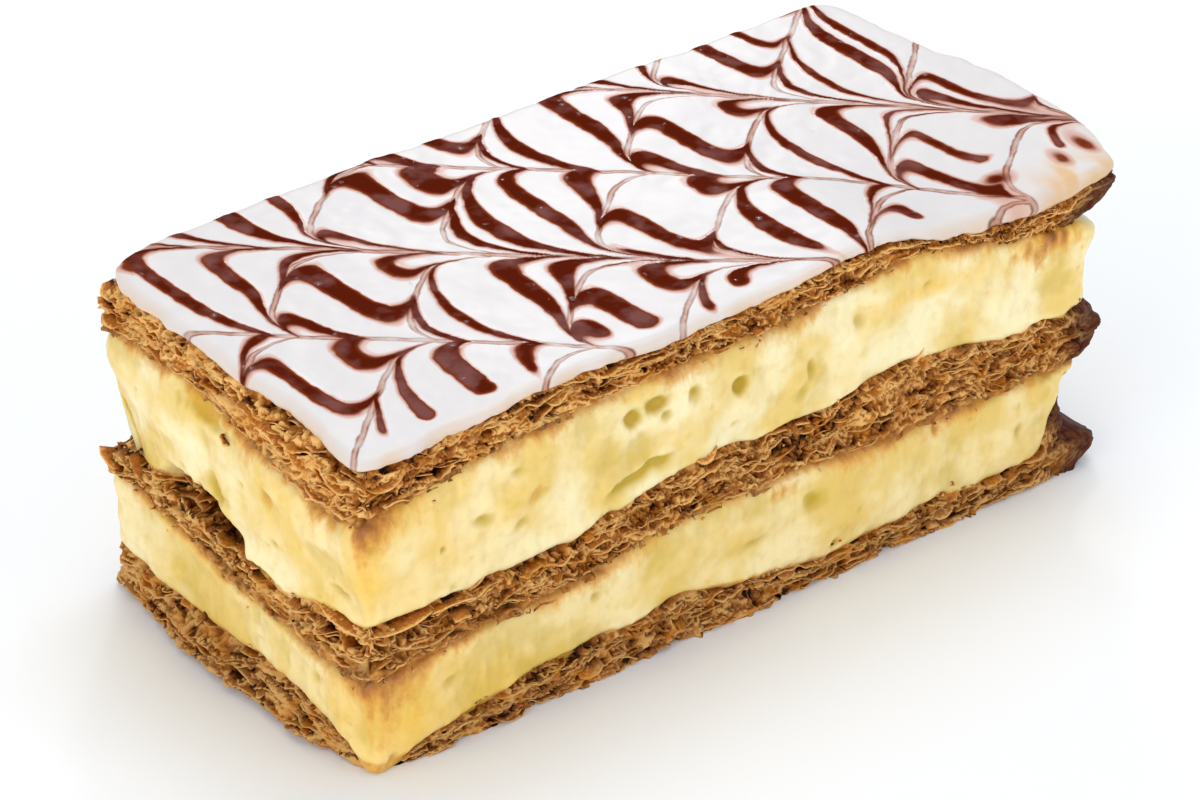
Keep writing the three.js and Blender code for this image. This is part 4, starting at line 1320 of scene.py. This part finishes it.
def make_icing():
    """The sheet of fondant: a flowing top with chocolate drawn through it, and a round lip at its edge."""
    own = sizes()
    spacing = own.icing_grain
    felt = shell(spacing, spacing)
    outline = felt.outline
    under = blur(median(felt.band("icing")[0], 8), 1.0 / spacing, 0, True)
    under = under + bumps(outline.flat, ICING_SEED + 7, (2.0, 0.2), (0.8, 0.12))
    rim_x, rim_y = icing_rim(outline)
    top = TopSurface()
    sunk = 0.12  # leaves room for the chocolate to stand up

    def ring(depth, share_up):
        """A loop that lies depth mm in from the edge, at a share of the icing's thickness."""
        # Its own wander fades out towards the middle.
        kept = (1 - depth / (WIDTH / 2)) ** 2
        x, y = outline.x + (rim_x - outline.x) * kept, outline.y + (rim_y - outline.y) * kept
        x, y = drawn_in(x, y, depth)
        return np.stack([x, y, under + (top.at(x, y) - sunk - under) * share_up], -1)

    loops = [outline.inside(HIDDEN_DEPTH, under + 0.3)]
    loops += [ring(depth, share_up) for depth, share_up in LIP_UNDER]
    hidden = len(loops)
    for i in range(LIP_STEPS):
        angle = math.pi / 2 * i / LIP_STEPS
        loops.append(ring(LIP_WIDTH * (1 - math.cos(angle)), 0.3 + 0.7 * math.sin(angle)))
    lip_rows = len(loops)
    loops += [ring(depth, 1.0) for depth in np.arange(LIP_WIDTH, WIDTH / 2 - 0.3, 1.05 * spacing)]
    loops = np.array(loops)
    x, y = loops[..., 0], loops[..., 1]
    chocolate, mark = feathered(x, y)
    flat = np.stack([x, y, 0 * x], -1)
    uneven = bumps(flat, ICING_SEED + 2, (3.4, 0.06), (1.2, 0.03))
    beads = chocolate * 0.10 * ease(noise(flat, 1.3, ICING_SEED + 4), 0.35, 0.9)
    raised = own.relief * chocolate - 0.05 * mark + uneven + beads
    raised[:hidden] = 0
    loops[..., 2] += raised
    points, faces = closed_along_middle(loops, outline.counts)
    # The lip lets the pastry through, most towards the end of the long cut side.
    thin = np.zeros(loops.shape[:2])
    towards_end = ease(outline.x, LENGTH - 24, LENGTH - 4) * ease(-outline.ny, 0.2, 0.9)
    ramp = 1 - np.clip((np.arange(lip_rows) - hidden) / LIP_STEPS, 0, 1)
    thin[:lip_rows] = ramp[:, None] * (0.55 + 0.5 * towards_end + 0.3 * noise(flat[0], 2.5, ICING_SEED + 5))
    # The icing ran out there, so it is thin on top as well.
    ending = ease(x, LENGTH - 16, LENGTH - 5) * ease(-y, -7, 0)
    thin = np.maximum(thin, ending * (0.6 + 1.2 * noise(flat, (1.4, 5.0, 9.0), ICING_SEED + 9)))
    thin = np.concatenate([np.clip(thin, 0, 1).ravel(), [0]])
    piece = to_mesh("icing_feathered", points, faces, {"thin": thin})
    settle(piece, "icing", icing_material("feathered fondant"))


# ---------------------------------------------------------------- camera, light and floor

# Angles in degrees, distance and target in mm, in the cut slice's own frame.
CAMERA = {
    "azimuth": -38.19, "elevation": 31.01, "distance": 550.2, "target": (51.46, 22.72, 21.67), "lens": 135,
}
SKY = 0.66
LAMP_AIM = Vector((0, 0, 0.02))
LAMPS = [  # name, place in metres, size in metres, power in watts
    ("overhead", (0.26, 0.24, 0.92), 0.6, 3.1),
    ("left", (-0.80, -0.25, 0.28), 0.6, 2.8),
    ("front", (0.35, -0.85, 0.30), 0.7, 2.1),
    ("sparkle", (0.42, 0.54, 0.41), 0.09, 0.5),
]
FLOOR_HALF = 3.0  # in metres


def make_stage():
    """A pale floor under soft lamps, and the camera."""
    scene = bpy.context.scene
    data = bpy.data.cameras.new("camera")
    data.lens = CAMERA["lens"]
    data.sensor_width = 36
    data.clip_end = 10
    camera = bpy.data.objects.new("camera", data)
    azimuth, elevation = math.radians(CAMERA["azimuth"]), math.radians(CAMERA["elevation"])
    back = Vector((
        math.sin(azimuth) * math.cos(elevation), -math.cos(azimuth) * math.cos(elevation), math.sin(elevation)
    ))
    target = Vector((np.array(CAMERA["target"]) + CUT_CORNER).tolist()) * MM
    turned = back.to_track_quat("Z", "Y").to_matrix().to_4x4()
    camera.matrix_world = Matrix.Translation(target + back * CAMERA["distance"] * MM) @ turned
    scene.collection.objects.link(camera)
    scene.camera = camera
    scene.view_settings.view_transform = "Standard"

    mesh = bpy.data.meshes.new("floor")
    corners = [(x * FLOOR_HALF, y * FLOOR_HALF, 0) for x, y in ((-1, -1), (1, -1), (1, 1), (-1, 1))]
    mesh.from_pydata(corners, [], [(0, 1, 2, 3)])
    mesh.materials.append(floor_material())
    floor = bpy.data.objects.new("floor", mesh)
    scene.collection.objects.link(floor)

    world = bpy.data.worlds.new("studio")
    world.use_nodes = True
    background = world.node_tree.nodes["Background"]
    background.inputs["Color"].default_value = (1.0, 1.0, 1.0, 1.0)
    background.inputs["Strength"].default_value = SKY
    scene.world = world
    for name, place, size, power in LAMPS:
        light = bpy.data.lights.new(name, "AREA")
        light.shape = "SQUARE"
        light.size = size
        light.energy = power
        lamp = bpy.data.objects.new(name, light)
        lamp.location = place
        lamp.rotation_euler = (Vector(place) - LAMP_AIM).to_track_quat("Z", "Y").to_euler()
        scene.collection.objects.link(lamp)


# ---------------------------------------------------------------- the add-on


class SLICE_OT_custards(bpy.types.Operator):
    """Makes the two layers of custard"""

    bl_idname = "slice.custards"
    bl_label = "Custard"

    def execute(self, context):
        own = colours()
        make_custard("custard_lower", own.custard_lower, blend(own.custard_lower, own.custard_pale, 0.7))
        make_custard("custard_upper", own.custard_pale, own.custard_deep)
        return {"FINISHED"}


class SLICE_OT_sheets(bpy.types.Operator):
    """Makes the three sheets of puff pastry"""

    bl_idname = "slice.sheets"
    bl_label = "Pastry"

    def execute(self, context):
        for node in SHEETS:
            make_pastry(node)
        return {"FINISHED"}


class SLICE_OT_flakes(bpy.types.Operator):
    """Makes the larger flakes and the crumbs"""

    bl_idname = "slice.flakes"
    bl_label = "Flakes"

    def execute(self, context):
        make_flakes()
        return {"FINISHED"}


class SLICE_OT_icing(bpy.types.Operator):
    """Makes the icing with its feathered chocolate"""

    bl_idname = "slice.icing"
    bl_label = "Icing"

    def execute(self, context):
        make_icing()
        return {"FINISHED"}


class SLICE_OT_stage(bpy.types.Operator):
    """Makes the camera, the lamps and the floor"""

    bl_idname = "slice.stage"
    bl_label = "Stage"

    def execute(self, context):
        make_stage()
        return {"FINISHED"}


class SLICE_PT_panel(bpy.types.Panel):
    """Lists the sizes, the colours and the pieces"""

    bl_idname = "SLICE_PT_panel"
    bl_label = "Mille feuille slice"
    bl_space_type = "VIEW_3D"
    bl_region_type = "UI"
    bl_category = "Slice"

    def draw(self, context):
        for group in (context.scene.slice_sizes, context.scene.slice_colours):
            for name in group.__annotations__:
                self.layout.prop(group, name)
        for operator in OPERATORS:
            self.layout.operator(operator.bl_idname)


OPERATORS = (SLICE_OT_custards, SLICE_OT_sheets, SLICE_OT_flakes, SLICE_OT_icing, SLICE_OT_stage)
CLASSES = (SliceSizes, SliceColours, *OPERATORS, SLICE_PT_panel)


def register():
    for cls in CLASSES:
        bpy.utils.register_class(cls)
    bpy.types.Scene.slice_sizes = bpy.props.PointerProperty(type=SliceSizes)
    bpy.types.Scene.slice_colours = bpy.props.PointerProperty(type=SliceColours)


def unregister():
    del bpy.types.Scene.slice_colours
    del bpy.types.Scene.slice_sizes
    for cls in reversed(CLASSES):
        bpy.utils.unregister_class(cls)


def main():
    """Makes every piece and the stage."""
    register()
    bpy.ops.slice.custards()
    bpy.ops.slice.sheets()
    bpy.ops.slice.flakes()
    bpy.ops.slice.icing()
    bpy.ops.slice.stage()


if __name__ == "__main__":
    main()
